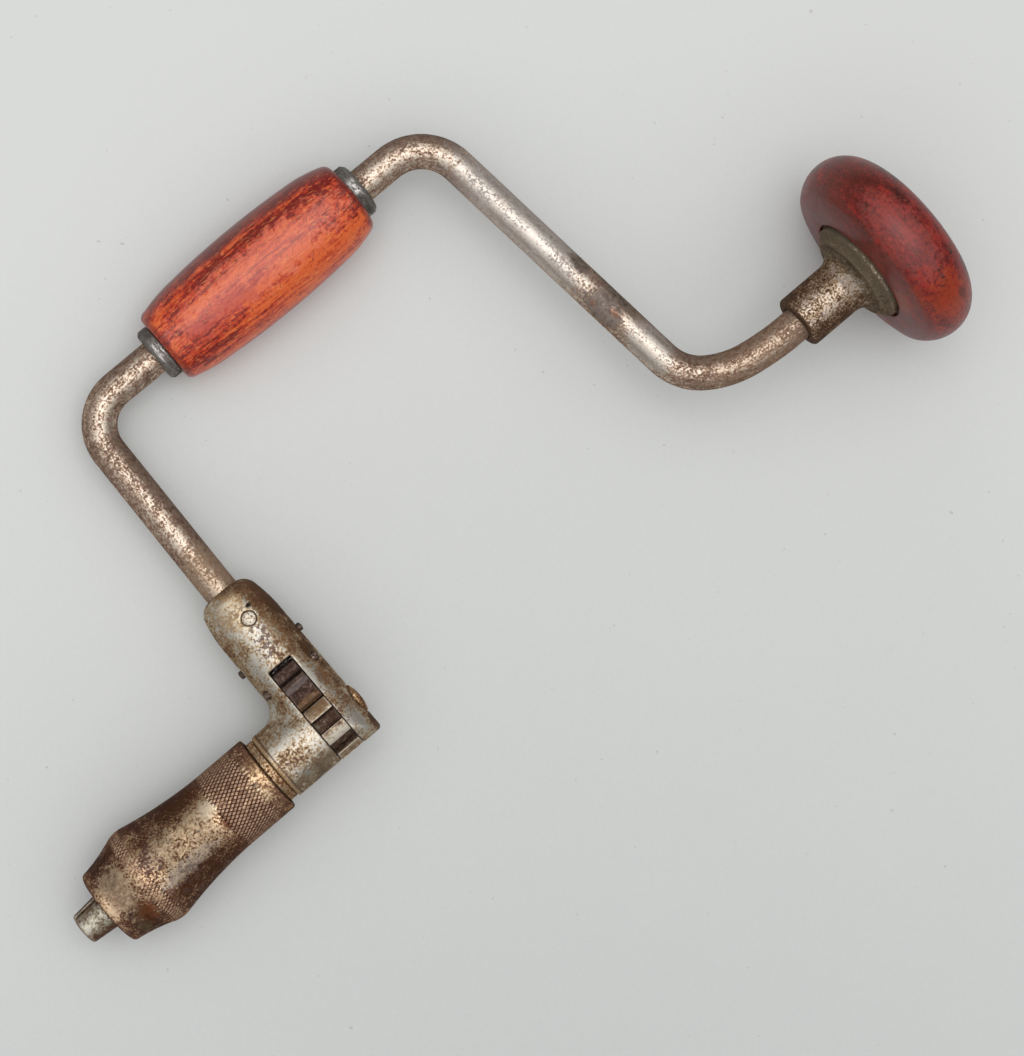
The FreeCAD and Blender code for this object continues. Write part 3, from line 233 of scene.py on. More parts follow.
def opaque(colour: Any) -> Any:
    """Colour with its alpha, or the signal that was given."""
    return (*colour, 1.0) if isinstance(colour, tuple) else colour


class SocketKind(Enum):
    """Kinds of socket on the trees that are made here."""

    NUMBER = "NodeSocketFloat"
    COUNT = "NodeSocketInt"
    VECTOR = "NodeSocketVector"
    MATERIAL = "NodeSocketMaterial"
    GEOMETRY = "NodeSocketGeometry"


KIND_OF_DEFAULT = {float: SocketKind.NUMBER, int: SocketKind.COUNT, tuple: SocketKind.VECTOR}


class NamedTree(Tree):
    """Tree of its own, with named inputs and outputs."""

    def __init__(self, name: str, family: str, inputs: dict[str, Any],
                 outputs: dict[str, SocketKind]) -> None:
        """Starts the tree.

        Args:
            name: Name of the tree.
            family: Blender's name of the tree's type.
            inputs: Default of each input by name, or its kind where it has no default.
            outputs: Kind of each output, by name.
        """
        super().__init__(bpy.data.node_groups.new(name, family))
        for side, sockets in (("INPUT", inputs), ("OUTPUT", outputs)):
            for label, given in sockets.items():
                bare = isinstance(given, SocketKind)
                kind = given if bare else KIND_OF_DEFAULT[type(given)]
                socket = self.tree.interface.new_socket(label, in_out=side,
                                                        socket_type=kind.value)
                if not bare:
                    socket.default_value = given
        self.given = self.node("NodeGroupInput")
        self.result = self.node("NodeGroupOutput")

    def closed(self, outputs: dict[str, Signal]) -> bpy.types.NodeTree:
        """Feeds the outputs and gives the finished tree."""
        self.result.feed(outputs)
        return self.tree


class ShaderGroup(NamedTree):
    """Shader group that reads a place and puts out numbers."""

    def __init__(self, name: str, inputs: dict[str, Any], *outputs: str) -> None:
        """Starts the group with its inputs' defaults and its outputs' names.

        Args:
            name: Name of the group.
            inputs: Default of each input besides the place, by name.
            *outputs: Names of the outputs.
        """
        super().__init__(name, "ShaderNodeTree", {"Vector": (0.0, 0.0, 0.0), **inputs},
                         dict.fromkeys(outputs, SocketKind.NUMBER))
        self.place = self.given["Vector"]


class Effects:
    """Shader groups that more than one finish uses."""

    def __init__(self) -> None:
        """Builds each group once."""
        self.patina = self.make_patina()
        self.specks = self.make_specks()
        self.patch = self.make_patch()
        self.wear = self.make_wear_and_shade()
        self.scratches = self.make_scratches()

    def make_patina(self) -> bpy.types.NodeTree:
        """Level of wear that flickers finely over wide clouds.

        Returns:
            Group that gives the level, about 0.5 on average.
        """
        group = ShaderGroup("patina_level", {
            "Fine Size": 0.6, "Middle Size": 2.5, "Wide Size": 12.0,
            "Fine Share": 0.8, "Middle Share": 0.9, "Wide Share": 0.8}, "Level")
        level: Any = 0.5
        for band, detail in (("Fine", 2.0), ("Middle", 3.0), ("Wide", 2.0)):
            waves = group.noise(group.place, group.given[f"{band} Size"], detail, 0.6, 0.25)
            level += (waves - 0.5) * group.given[f"{band} Share"]
        return group.closed({"Level": level})

    def make_specks(self) -> bpy.types.NodeTree:
        """Small separate spots, more of them in some places.

        Returns:
            Group that gives the spots' mask.
        """
        group = ShaderGroup("dark_specks", {"Size": 1.0, "Cover": 0.35}, "Mask")
        size = group.given["Size"]
        small = group.noise(group.place, size, 3.0, 0.6, 0.5)
        wide = group.noise(group.place, size * 9.0, 2.0)
        edge = 1.0 - group.given["Cover"]
        spots = group.remap(small + (wide - 0.5) * 0.5, edge, edge + 0.06)
        return group.closed({"Mask": spots})

    def make_patch(self) -> bpy.types.NodeTree:
        """Ragged round patch about one place.

        Returns:
            Group that gives the patch's mask.
        """
        group = ShaderGroup("stain_patch", {
            "Centre": (0.0, 0.0, 0.0), "Reach": (10.0, 10.0, 10.0), "Ragged": 0.6,
            "Grain": 2.0}, "Mask")
        given = group.given
        distance = group.math("LENGTH", (group.place - given["Centre"]) / given["Reach"])
        grain = group.noise(group.place, given["Grain"], 4.0, 0.65, 0.5)
        rough = (grain - 0.5) * given["Ragged"] * 2.0
        return group.closed({"Mask": group.remap(distance + rough, 0.6, 1.1, 1.0, 0.0)})

    def make_wear_and_shade(self) -> bpy.types.NodeTree:
        """Rubbed edges, corners (dirt and painted shade), sides and the side facing +X and +Y
        (painted shade, partly darker film) and sunk floors (painted shade), as stored.

        Returns:
            Group that gives a mask of each.
        """
        least = {"Edge": 0.35, "Corner": 0.5, "Flank": 0.55, "Lee": 0.4, "Sunk": 0.8}
        group = ShaderGroup("wear_and_painted_shade", {"Grain": 1.5, "Wide Grain": 7.0}, *least)
        masks = {}
        for name, low in least.items():
            size = group.given["Wide Grain" if name in ("Flank", "Lee") else "Grain"]
            grain = group.noise(group.place, size, 3.0, 0.6)
            marked = group.node("ShaderNodeAttribute", attribute_name=name.lower())["Fac"]
            masks[name] = marked * group.remap(grain, 0.3, 0.6, low, 1.0)
        return group.closed(masks)

    def make_scratches(self) -> bpy.types.NodeTree:
        """Fine marks along one direction.

        Returns:
            Group that gives the marks' mask.
        """
        group = ShaderGroup("fine_scratches", {
            "Stretch": (0.08, 1.0, 1.0), "Width": 0.3, "Amount": 0.5}, "Mask")
        given = group.given
        lines = group.noise(group.place * given["Stretch"], given["Width"], 2.0, 0.6, 0.2)
        return group.closed({"Mask": group.remap(lines, 0.66, 0.72) * given["Amount"]})


# Finishes

@dataclass(frozen=True)
class Patch:
    """Place on a finish that is more worn, dirtier or stained, or where shade, a highlight or a
    sheen is painted.

    The centre and reach are millimetres in the part's frame. The shift moves the patina's
    level, below zero towards the dark film. The pits add dark spots, and the colour is laid
    over with the strength.
    """

    centre: Point
    reach: Point
    shift: float = 0.0
    pits: float = 0.0
    colour: Colour = (0.1, 0.06, 0.04)
    strength: float = 0.0
    ragged: float = 0.5
    grain: float = 3.0


class Surface(Tree):
    """Tree of a material whose patterns read object coordinates in millimetres."""

    def __init__(self, name: str) -> None:
        """Starts the material.

        Args:
            name: Name of the material.
        """
        self.material = bpy.data.materials.new(name)
        self.material.use_nodes = True
        self.material.node_tree.nodes.clear()
        super().__init__(self.material.node_tree)
        self.shader = self.node("ShaderNodeBsdfPrincipled")
        self.node("ShaderNodeOutputMaterial", {"Surface": self.shader[0]})
        coordinates = self.node("ShaderNodeTexCoord")["Object"]
        self.place = self.node("ShaderNodeMapping", {
            "Vector": coordinates, "Scale": (1 / MM, 1 / MM, 1 / MM)})["Vector"]

    def finish(self, inputs: dict[str, Any]) -> bpy.types.Material:
        """Feeds the surface shader and gives the finished material."""
        self.shader.feed(inputs)
        return self.material


class WornSurface(Surface):
    """Surface with the shared effects and the patches of its finish."""

    def __init__(self, name: str, effects: Effects, patches: Sequence[Patch]) -> None:
        """Starts the material.

        Args:
            name: Name of the material.
            effects: The shared shader groups.
            patches: The finish's patches.
        """
        super().__init__(name)
        self.effects = effects
        self.wear = self.effect(effects.wear)
        self.masks = [(patch, self.effect(effects.patch, {
            "Centre": patch.centre, "Reach": patch.reach, "Ragged": patch.ragged,
            "Grain": patch.grain})["Mask"]) for patch in patches]

    def effect(self, group: bpy.types.NodeTree, inputs: dict[str, Any] | None = None) -> Step:
        """Places a shared group, which reads the place on the part unless told otherwise."""
        return self.node("ShaderNodeGroup", {"Vector": self.place, **(inputs or {})},
                         node_tree=group)

    def summed(self, value: Any, share: str) -> Any:
        """Value to which each patch adds its share of that name.

        Args:
            value: Number or signal to start from.
            share: Name of the patches' field.

        Returns:
            The sum.
        """
        for patch, mask in self.masks:
            if getattr(patch, share):
                value += mask * getattr(patch, share)
        return value

    def stained(self, colour: Signal) -> Signal:
        """Colour with the patches' own colours laid over it: stains, and in some patches painted
        shade, highlight or sheen.

        Args:
            colour: Colour below the patches.

        Returns:
            The new colour.
        """
        for patch, mask in self.masks:
            if patch.strength:
                colour = self.mix(mask * patch.strength, colour, patch.colour)
        return colour


@dataclass(frozen=True)
class SteelFinish:
    """Worn plating or bare steel that shows through a brown film, with spots and rubbed edges.

    The four tones run from the dark film over brown and tan to bright metal, and the level
    says how much of each shows.
    """

    name: str
    film: Colour = (0.070, 0.024, 0.012)
    brown: Colour = (0.178, 0.088, 0.062)
    tan: Colour = (0.42, 0.29, 0.205)
    bright: Colour = (0.62, 0.535, 0.45)
    spot: Colour = (0.085, 0.042, 0.034)
    brown_range: tuple[float, float] = (0.20, 0.38)
    tan_range: tuple[float, float] = (0.39, 0.53)
    bright_range: tuple[float, float] = (0.54, 0.68)
    clean_range: tuple[float, float] = (0.3, 0.6)
    rubbed: Colour = (0.62, 0.52, 0.41)
    # Colours of the corners (dirt and painted shade) and of sunk places (painted shade).
    corner_dirt_and_shade: Colour = (0.020, 0.010, 0.007)
    sunk_shade: Colour = (0.045, 0.024, 0.018)
    level: float = 0.0
    stretch: Point = (1.0, 1.0, 1.0)
    fine_size: float = 0.8
    middle_size: float = 2.4
    wide_size: float = 11.0
    fine_share: float = 1.3
    middle_share: float = 0.7
    wide_share: float = 0.8
    # Painted shade: how far the sides and the side facing +X and +Y sink towards the dark film.
    flank_shift: float = -0.12
    shaded_side_shift: float = 0.0
    spot_size: float = 0.9
    spot_cover: float = 0.36
    spot_share: float = 0.75
    streak_share: float = 0.0
    edge_share: float = 0.25
    sunk_share: float = 0.85
    corner_share: float = 0.8
    smooth: float = 0.42
    dull: float = 0.62
    least_metal: float = 0.25
    glancing: Colour = (0.50, 0.35, 0.27)
    relief: float = 0.09
    patches: tuple[Patch, ...] = ()

    def material(self, effects: Effects) -> bpy.types.Material:
        """Builds the node material.

        Args:
            effects: The shared shader groups.

        Returns:
            The new material.
        """
        tree = WornSurface(self.name, effects, self.patches)
        level = self.worn_level(tree)
        colour: Any = self.film
        for span, tone in ((self.brown_range, self.brown), (self.tan_range, self.tan),
                           (self.bright_range, self.bright)):
            colour = tree.mix(tree.remap(level, *span), colour, tone)
        spots = tree.effect(effects.specks, {
            "Vector": tree.place + (31.0, 17.0, 5.0), "Size": self.spot_size,
            "Cover": tree.summed(self.spot_cover, "pits")})["Mask"]
        colour = tree.stained(tree.mix(spots * self.spot_share, colour, self.spot))
        clean = tree.remap(level, *self.clean_range)
        for mask in (spots, tree.wear["Sunk"], tree.wear["Corner"]):
            clean *= 1.0 - mask
        # Rubbed edges are lightened; sunk places get painted shade and corners dirt with painted
        # shade.
        for name, share, shade in (("Edge", self.edge_share, self.rubbed),
                                   ("Sunk", self.sunk_share, self.sunk_shade),
                                   ("Corner", self.corner_share, self.corner_dirt_and_shade)):
            colour = tree.mix(tree.wear[name] * share, colour, shade)
        return tree.finish({
            "Base Color": colour, "Roughness": tree.between(clean, self.dull, self.smooth),
            "Metallic": tree.between(clean, self.least_metal, 1.0),
            "Normal": tree.bump(level * 0.7 - spots, 0.55, self.relief),
            "Specular IOR Level": 0.08, "Specular Tint": opaque(self.glancing)})

    def worn_level(self, tree: WornSurface) -> Signal:
        """Level of wear over the piece, lowered on its sides and on the side facing +X and +Y as
        painted shade.

        Args:
            tree: The material's tree.

        Returns:
            The level, about 0.5 on average.
        """
        bands = {f"{band} {part}": getattr(self, f"{band}_{part}".lower())
                 for band in ("Fine", "Middle", "Wide") for part in ("Size", "Share")}
        level = tree.effect(tree.effects.patina, {
            "Vector": tree.place * self.stretch, **bands})["Level"] + self.level
        # Painted shade: the sides and the side facing +X and +Y sink towards the dark film.
        for name, shift in (("Flank", self.flank_shift), ("Lee", self.shaded_side_shift)):
            if shift:
                level += tree.wear[name] * shift
        level = tree.summed(level, "shift")
        if self.streak_share:
            along = tree.node("ShaderNodeAttribute", attribute_name="along")["Fac"]
            across = tree.node("ShaderNodeAttribute", attribute_name="across")["Vector"]
            drawn_out = tree.node("ShaderNodeCombineXYZ", {"Z": along * (0.14 / MM)})[0]
            streaks = tree.noise(across * (1 / MM) + drawn_out, 0.8, 3.0, 0.6)
            level += (streaks - 0.5) * self.streak_share
        return level


@dataclass(frozen=True)
class WoodFinish:
    """Stained hardwood under worn lacquer.

    The three tones run from deep over middle to pale. The stretch draws the pattern out
    along the grain.
    """

    name: str
    deep: Colour
    middle: Colour
    pale: Colour
    light: Colour
    streak: Colour
    middle_range: tuple[float, float] = (0.26, 0.48)
    pale_range: tuple[float, float] = (0.50, 0.68)
    stretch: Point = (0.03, 1.0, 1.0)
    stripe_share: float = 0.9
    streak_share: float = 1.0
    blotch_share: float = 0.4
    fibre_share: float = 0.9
    grain_share: float = 0.8
    light_share: float = 0.6
    line_share: float = 0.5
    shaded_side_shift: float = 0.0
    spot_cover: float = 0.30
    coat: float = 1.0
    coat_index: float = 1.75
    coat_roughness: float = 0.3
    patches: tuple[Patch, ...] = ()

    def material(self, effects: Effects) -> bpy.types.Material:
        """Builds the node material.

        Args:
            effects: The shared shader groups.

        Returns:
            The new material.
        """
        tree = WornSurface(self.name, effects, self.patches)
        place = tree.place
        wavy = tree.node("ShaderNodeTexNoise", {
            "Vector": place * (0.014, 0.05, 0.05), "Scale": 1.0, "Detail": 2.0})["Color"]
        bent = place + (wavy - 0.5) * (0.0, 7.0, 7.0)
        long = bent * self.stretch
        short = bent * tuple(min(1.0, part * 5) for part in self.stretch)
        stripes = tree.noise(long, 4.2, 2.0)
        streaks = tree.noise(long, 1.1, 3.0, 0.6, 0.1)
        fibres = tree.noise(short, 0.8, 3.0, 0.65)
        grains = tree.noise(place, 1.1, 2.0, 0.6, 0.4)
        blotches = tree.noise(place, 5.0, 4.0, 0.62, 0.6)
        tone: Any = 0.5
        for waves, share in ((stripes, self.stripe_share), (streaks, self.streak_share),
                             (fibres, self.fibre_share), (blotches, self.blotch_share),
                             (grains, self.grain_share)):
            tone += (waves - 0.5) * share
        # Painted shade: the side facing +X and +Y is darkened.
        tone = tree.summed(tone + tree.wear["Lee"] * self.shaded_side_shift, "shift")
        flecks = tree.remap(tree.noise(short, 0.5, 2.0, 0.7, 0.3), 0.57, 0.66)
        lines = tree.remap(tree.noise(long, 0.7, 3.0, 0.7), 0.60, 0.68)
        spots = tree.effect(effects.specks, {"Size": 1.6, "Cover": self.spot_cover})["Mask"]
        slanted = tree.node("ShaderNodeVectorRotate", {"Vector": place, "Angle": 0.65},
                            rotation_type="Z_AXIS")[0]
        marks = tree.effect(effects.scratches, {
            "Vector": slanted, "Stretch": (1.0, 0.06, 0.4), "Width": 0.6,
            "Amount": 0.7})["Mask"]
        colour: Any = self.deep
        for mask, tint in ((tree.remap(tone, *self.middle_range), self.middle),
                           (tree.remap(tone, *self.pale_range), self.pale),
                           (flecks * self.light_share, self.light),
                           (lines * self.line_share, self.streak),
                           (spots * 0.7, self.streak), (marks, self.streak)):
            colour = tree.mix(mask, colour, tint)
        # Corners are darkened with the streak colour: dirt and painted shade.
        colour = tree.mix(tree.wear["Corner"] * 0.8, tree.stained(colour), self.streak)
        relief = fibres * 0.6 + streaks * 0.4 - marks * 0.5
        return tree.finish({
            "Base Color": colour, "Roughness": tree.remap(blotches, 0.3, 0.7, 0.42, 0.58),
            "Normal": tree.bump(relief, 0.5, 0.05), "Specular IOR Level": 0.1,
            "Coat Weight": self.coat, "Coat IOR": self.coat_index,
            "Coat Roughness": self.coat_roughness})


class Finishes:
    """Every finish of the brace, built once."""

    BAR = SteelFinish(
        "bar_steel", flank_shift=-0.15, shaded_side_shift=-0.40, streak_share=0.9,
        fine_share=1.6, middle_share=0.9, smooth=0.40, patches=(
            Patch((254.0, 85.0, 4.0), (16.0, 34.0, 14.0), shift=0.22, pits=0.07,
                  colour=(0.57, 0.57, 0.575), strength=0.45, grain=1.5),
            # Painted light on the slant's -X side, partly cleaner metal.
            Patch((249.0, 60.0, 3.0), (5.5, 30.0, 9.0), shift=0.15),
            # Painted shade on the slant's +X side near its foot, partly darker film.
            Patch((269.5, 26.0, 3.0), (4.5, 15.0, 9.0), shift=-0.45, ragged=0.9),
            Patch((232.0, 127.0, 5.0), (16.0, 7.0, 12.0), shift=0.05),
            Patch((104.0, 60.0, 4.0), (9.0, 12.0, 9.0), shift=-0.05,
                  colour=(0.34, 0.21, 0.11), strength=0.4, ragged=1.0, grain=1.6),
            Patch((257.4, 44.6, 5.0), (5.6, 8.5, 5.5), shift=-0.25,
                  colour=(0.105, 0.080, 0.080), strength=0.9, ragged=0.35, grain=2.0),
            Patch((263.2, 43.5, 3.0), (1.8, 9.0, 4.0), shift=-0.45,
                  colour=(0.026, 0.012, 0.010), strength=0.95, ragged=0.4, grain=1.5),
            Patch((260.9, 61.0, 5.0), (2.6, 5.0, 4.0), shift=-0.45,
                  colour=(0.034, 0.017, 0.013), strength=0.9, ragged=0.7, grain=1.5),
            Patch((258.8, 41.5, 6.0), (1.3, 2.2, 3.0), colour=(0.16, 0.045, 0.020),
                  strength=0.85, ragged=1.4, grain=1.0),
            Patch((255.8, 48.5, 6.0), (1.0, 1.5, 3.0), colour=(0.17, 0.055, 0.024),
                  strength=0.8, ragged=1.4, grain=1.0),
            Patch((261.0, 26.0, 4.0), (7.5, 11.0, 12.0), shift=0.24, pits=0.04,
                  colour=(0.52, 0.51, 0.50), strength=0.42, grain=1.5),
            # Painted shade on the slant's +X side, partly darker film.
            Patch((262.5, 61.0, 0.0), (2.0, 60.0, 4.0), shift=-0.2),
            Patch((287.0, 2.0, 2.0), (23.0, 11.0, 12.0), shift=-0.04,
                  colour=(0.20, 0.088, 0.030), strength=0.33, ragged=1.4, grain=1.6)))
    CASTING = SteelFinish(
        "casting_steel", film=(0.075, 0.036, 0.018), brown=(0.20, 0.115, 0.062),
        tan=(0.42, 0.32, 0.21), bright=(0.58, 0.545, 0.48), level=0.13, fine_share=0.95,
        middle_size=2.2, middle_share=0.6, wide_size=9.0, wide_share=0.9,
        spot=(0.115, 0.055, 0.048), spot_size=1.3, spot_cover=0.35, edge_share=0.08,
        flank_shift=-0.14, shaded_side_shift=-0.20, relief=0.06, glancing=(0.62, 0.56, 0.46),
        smooth=0.46, patches=(
            Patch((79.6, 0.0, 0.0), (1.6, 60.0, 60.0), shift=-0.08,
                  colour=(0.46, 0.29, 0.13), strength=0.5, grain=1.5),
            Patch((81.4, 0.0, 0.0), (0.42, 60.0, 60.0), colour=(0.10, 0.05, 0.025),
                  strength=0.8, ragged=0.2, grain=1.0),
            Patch((101.2, 46.5, 11.0), (7.0, 8.5, 6.0), colour=(0.52, 0.36, 0.18),
                  strength=0.42, ragged=1.0, grain=2.2),
            Patch((110.0, 48.0, 8.0), (3.8, 11.0, 9.0), shift=-0.16, pits=0.04,
                  colour=(0.15, 0.065, 0.026), strength=0.35, ragged=1.4, grain=1.6),
            Patch((108.5, 34.0, 11.0), (3.0, 9.0, 6.0), shift=-0.05, pits=0.05,
                  colour=(0.30, 0.17, 0.07), strength=0.3, ragged=1.4, grain=1.6),
            # Painted shade on the box's +X side, partly darker film.
            Patch((113.8, 47.0, 4.0), (3.0, 13.0, 9.0), shift=-0.25),
            Patch((110.8, 5.0, 8.0), (3.5, 14.0, 6.0), shift=0.14),
            # Painted shade on the box's +X side, partly darker film.
            Patch((112.2, 22.0, 6.0), (2.0, 5.0, 6.0), shift=-0.2),
            Patch((99.8, 46.0, 11.0), (6.0, 6.0, 5.0), pits=0.16, ragged=0.8),
            Patch((102.8, 34.0, 11.0), (4.5, 8.5, 5.0), pits=0.13, ragged=0.8),
            Patch((88.5, -2.5, 11.0), (8.0, 5.0, 6.0), shift=-0.10, pits=0.06, ragged=1.4,
                  grain=1.8),
            Patch((89.0, -9.5, 7.0), (12.0, 4.0, 9.0), shift=-0.14, pits=0.06,
                  colour=(0.165, 0.15, 0.115), strength=0.4, ragged=1.3, grain=1.6),
            Patch((87.0, 6.0, 11.0), (6.5, 4.5, 5.0), shift=0.12),
            Patch((110.2, 12.4, 10.0), (2.2, 3.0, 4.0), colour=(0.22, 0.085, 0.026),
                  strength=0.6, ragged=1.4, grain=1.2),
            Patch((110.3, -6.0, 8.0), (1.8, 4.0, 4.0), shift=0.3),
            # Painted shade on the box's +X side, partly darker film.
            Patch((114.0, -10.0, 0.0), (2.0, 5.0, 12.0), shift=-0.35,
                  colour=(0.09, 0.045, 0.03), strength=0.5),
            Patch((107.0, 44.9, 11.2), (1.4, 0.9, 2.0), colour=(0.008, 0.005, 0.004),
                  strength=0.97, ragged=0.3, grain=0.8)))
    SHELL = SteelFinish(
        "shell_steel", film=(0.070, 0.028, 0.014), brown=(0.180, 0.092, 0.064),
        tan=(0.42, 0.27, 0.145), bright=(0.61, 0.465, 0.31), level=0.05, fine_size=0.7,
        fine_share=1.5, middle_share=0.8, flank_shift=-0.38, smooth=0.36,
        rubbed=(0.58, 0.37, 0.25), corner_dirt_and_shade=(0.026, 0.011, 0.007), edge_share=0.9, corner_share=0.95,
        spot=(0.125, 0.074, 0.070), spot_size=1.5, patches=(
            Patch((64.7, 0.0, 0.0), (7.4, 80.0, 80.0), shift=-0.22, ragged=0.3, grain=4.0),
            # Brighter metal with a painted highlight: a bright spot at the waist end.
            Patch((55.5, 3.4, 13.5), (3.4, 3.2, 4.0), shift=0.18, colour=(0.58, 0.53, 0.44),
                  strength=0.3, ragged=1.0, grain=1.5),
            Patch((57.6, -3.6, 13.0), (2.0, 2.2, 3.0), colour=(0.12, 0.036, 0.018),
                  strength=0.85, ragged=1.1, grain=1.2),
            # Darker film with painted shade along both sides of the shell.
            Patch((45.0, 9.5, 12.0), (16.0, 3.5, 7.0), shift=-0.10, colour=(0.14, 0.058, 0.020),
                  strength=0.22, ragged=1.8, grain=1.3),
            Patch((42.0, -10.8, 11.0), (16.0, 3.0, 7.0), shift=-0.14,
                  colour=(0.13, 0.052, 0.018), strength=0.22, ragged=1.8, grain=1.3),
            Patch((20.5, -8.2, 12.0), (3.8, 5.4, 6.0), shift=-0.15,
                  colour=(0.165, 0.052, 0.016), strength=0.75, ragged=1.5, grain=1.3),
            Patch((17.0, -11.4, 7.0), (2.4, 3.0, 5.0), colour=(0.17, 0.14, 0.07),
                  strength=0.6, ragged=1.2, grain=1.3),
            # Brighter metal with a painted highlight: a pale band along the top of the shell.
            Patch((39.0, -6.0, 14.0), (14.0, 3.0, 4.0), shift=0.22, colour=(0.54, 0.49, 0.46),
                  strength=0.30, ragged=1.4, grain=1.3),
            Patch((32.0, 3.0, 16.0), (5.0, 5.0, 6.0), shift=-0.06,
                  colour=(0.20, 0.14, 0.13), strength=0.35, ragged=1.3, grain=1.6),
            Patch((17.5, 2.0, 13.0), (6.5, 9.0, 9.0), shift=0.27,
                  colour=(0.72, 0.48, 0.33), strength=0.35, ragged=1.4, grain=1.3),
            Patch((74.8, 1.0, 13.0), (2.4, 9.0, 6.0), shift=-0.10,
                  colour=(0.33, 0.19, 0.085), strength=0.3, ragged=1.2, grain=1.5)))
    JAW = SteelFinish(
        "jaw_steel", level=0.08, brown=(0.17, 0.125, 0.08), tan=(0.34, 0.30, 0.23),
        bright=(0.49, 0.47, 0.40), flank_shift=-0.5, fine_share=1.1, edge_share=0.35,
        spot_cover=0.43, glancing=(0.75, 0.70, 0.62))
    WHEEL = SteelFinish(
        "wheel_steel", brown=(0.17, 0.105, 0.062), tan=(0.34, 0.25, 0.165),
        bright=(0.56, 0.50, 0.41), rubbed=(0.62, 0.52, 0.42), edge_share=0.7,
        corner_share=1.0, fine_share=0.8, level=-0.02, flank_shift=0.0, spot_cover=0.34,
        patches=(
            Patch((101.6, 5.6, 10.0), (9.0, 2.3, 4.0), shift=-0.04,
                  colour=(0.27, 0.155, 0.075), strength=0.6, ragged=0.9),
            Patch((101.6, -4.6, 10.0), (9.0, 2.4, 4.0), shift=0.2,
                  colour=(0.46, 0.44, 0.37), strength=0.4)))
    # The pawls' tones are dark steel darkened further as painted shade of the slot.
    PAWL = SteelFinish(
        "pawl_steel", film=(0.020, 0.010, 0.008), brown=(0.042, 0.024, 0.019),
        tan=(0.060, 0.036, 0.028), bright=(0.105, 0.074, 0.062), rubbed=(0.20, 0.165, 0.15),
        corner_dirt_and_shade=(0.012, 0.007, 0.006), fine_share=0.6, edge_share=0.2, corner_share=0.3,
        flank_shift=0.0, least_metal=0.1, patches=(
            # Painted highlight along the pawl's ridge.
            Patch((101.6, 15.2, 11.0), (9.0, 1.1, 4.0), colour=(0.20, 0.155, 0.145),
                  strength=0.85, grain=1.2),
            Patch((101.6, 9.0, 11.0), (9.0, 1.7, 4.0), colour=(0.155, 0.085, 0.040),
                  strength=0.6, ragged=1.0, grain=1.5)))
    PIN = SteelFinish("pin_steel", film=(0.018, 0.009, 0.007), brown=(0.042, 0.023, 0.018),
                      tan=(0.10, 0.066, 0.054), bright=(0.28, 0.21, 0.17), level=-0.12,
                      edge_share=0.1, least_metal=0.1)
    RIVET = SteelFinish(
        "rivet_steel", level=0.04, brown=(0.22, 0.15, 0.10), tan=(0.38, 0.31, 0.23),
        bright=(0.52, 0.475, 0.40), fine_share=1.2, edge_share=0.0, corner_share=1.0,
        flank_shift=-0.5)
    COLLAR = SteelFinish(
        "collar_steel", film=(0.050, 0.042, 0.035), brown=(0.130, 0.114, 0.100),
        tan=(0.215, 0.195, 0.178), bright=(0.47, 0.45, 0.43), spot=(0.052, 0.034, 0.026),
        rubbed=(0.42, 0.40, 0.38), level=0.02, stretch=(1.0, 0.3, 0.3), fine_size=0.5,
        middle_size=1.3, middle_share=1.0, flank_shift=-0.16,
        spot_size=0.8, spot_cover=0.40, glancing=(0.5, 0.46, 0.42), patches=(
            Patch((220.0, 120.0, 7.0), (5.0, 4.0, 6.0), shift=-0.3),
            Patch((137.0, 134.0, 7.0), (5.0, 4.0, 6.0), shift=-0.25)))
    SPINDLE = SteelFinish(
        "spindle_steel", brown=(0.22, 0.11, 0.050), tan=(0.40, 0.265, 0.15),
        bright=(0.56, 0.44, 0.30), level=-0.02, flank_shift=-0.34)
    QUILL = SteelFinish(
        "quill_steel", film=(0.055, 0.026, 0.013), brown=(0.150, 0.085, 0.052),
        tan=(0.37, 0.26, 0.165), bright=(0.58, 0.49, 0.42), level=-0.01, fine_size=0.7,
        fine_share=1.5, flank_shift=-0.34, edge_share=0.05, corner_share=0.4, patches=(
            # Painted reflection: the concave root of the flare is lightened, on tan metal.
            Patch((324.5, 4.0, 4.0), (5.0, 30.0, 30.0), shift=0.20,
                  colour=(0.26, 0.18, 0.095), strength=0.22, ragged=1.2, grain=1.3),
            Patch((329.6, 2.0, 8.0), (5.0, 26.0, 28.0), shift=-0.03,
                  colour=(0.135, 0.118, 0.082), strength=0.6, ragged=1.0, grain=1.3)))
    SPRING = SteelFinish(
        "spring_steel", film=(0.03, 0.026, 0.024), brown=(0.055, 0.05, 0.048),
        tan=(0.10, 0.095, 0.09), bright=(0.18, 0.18, 0.18))
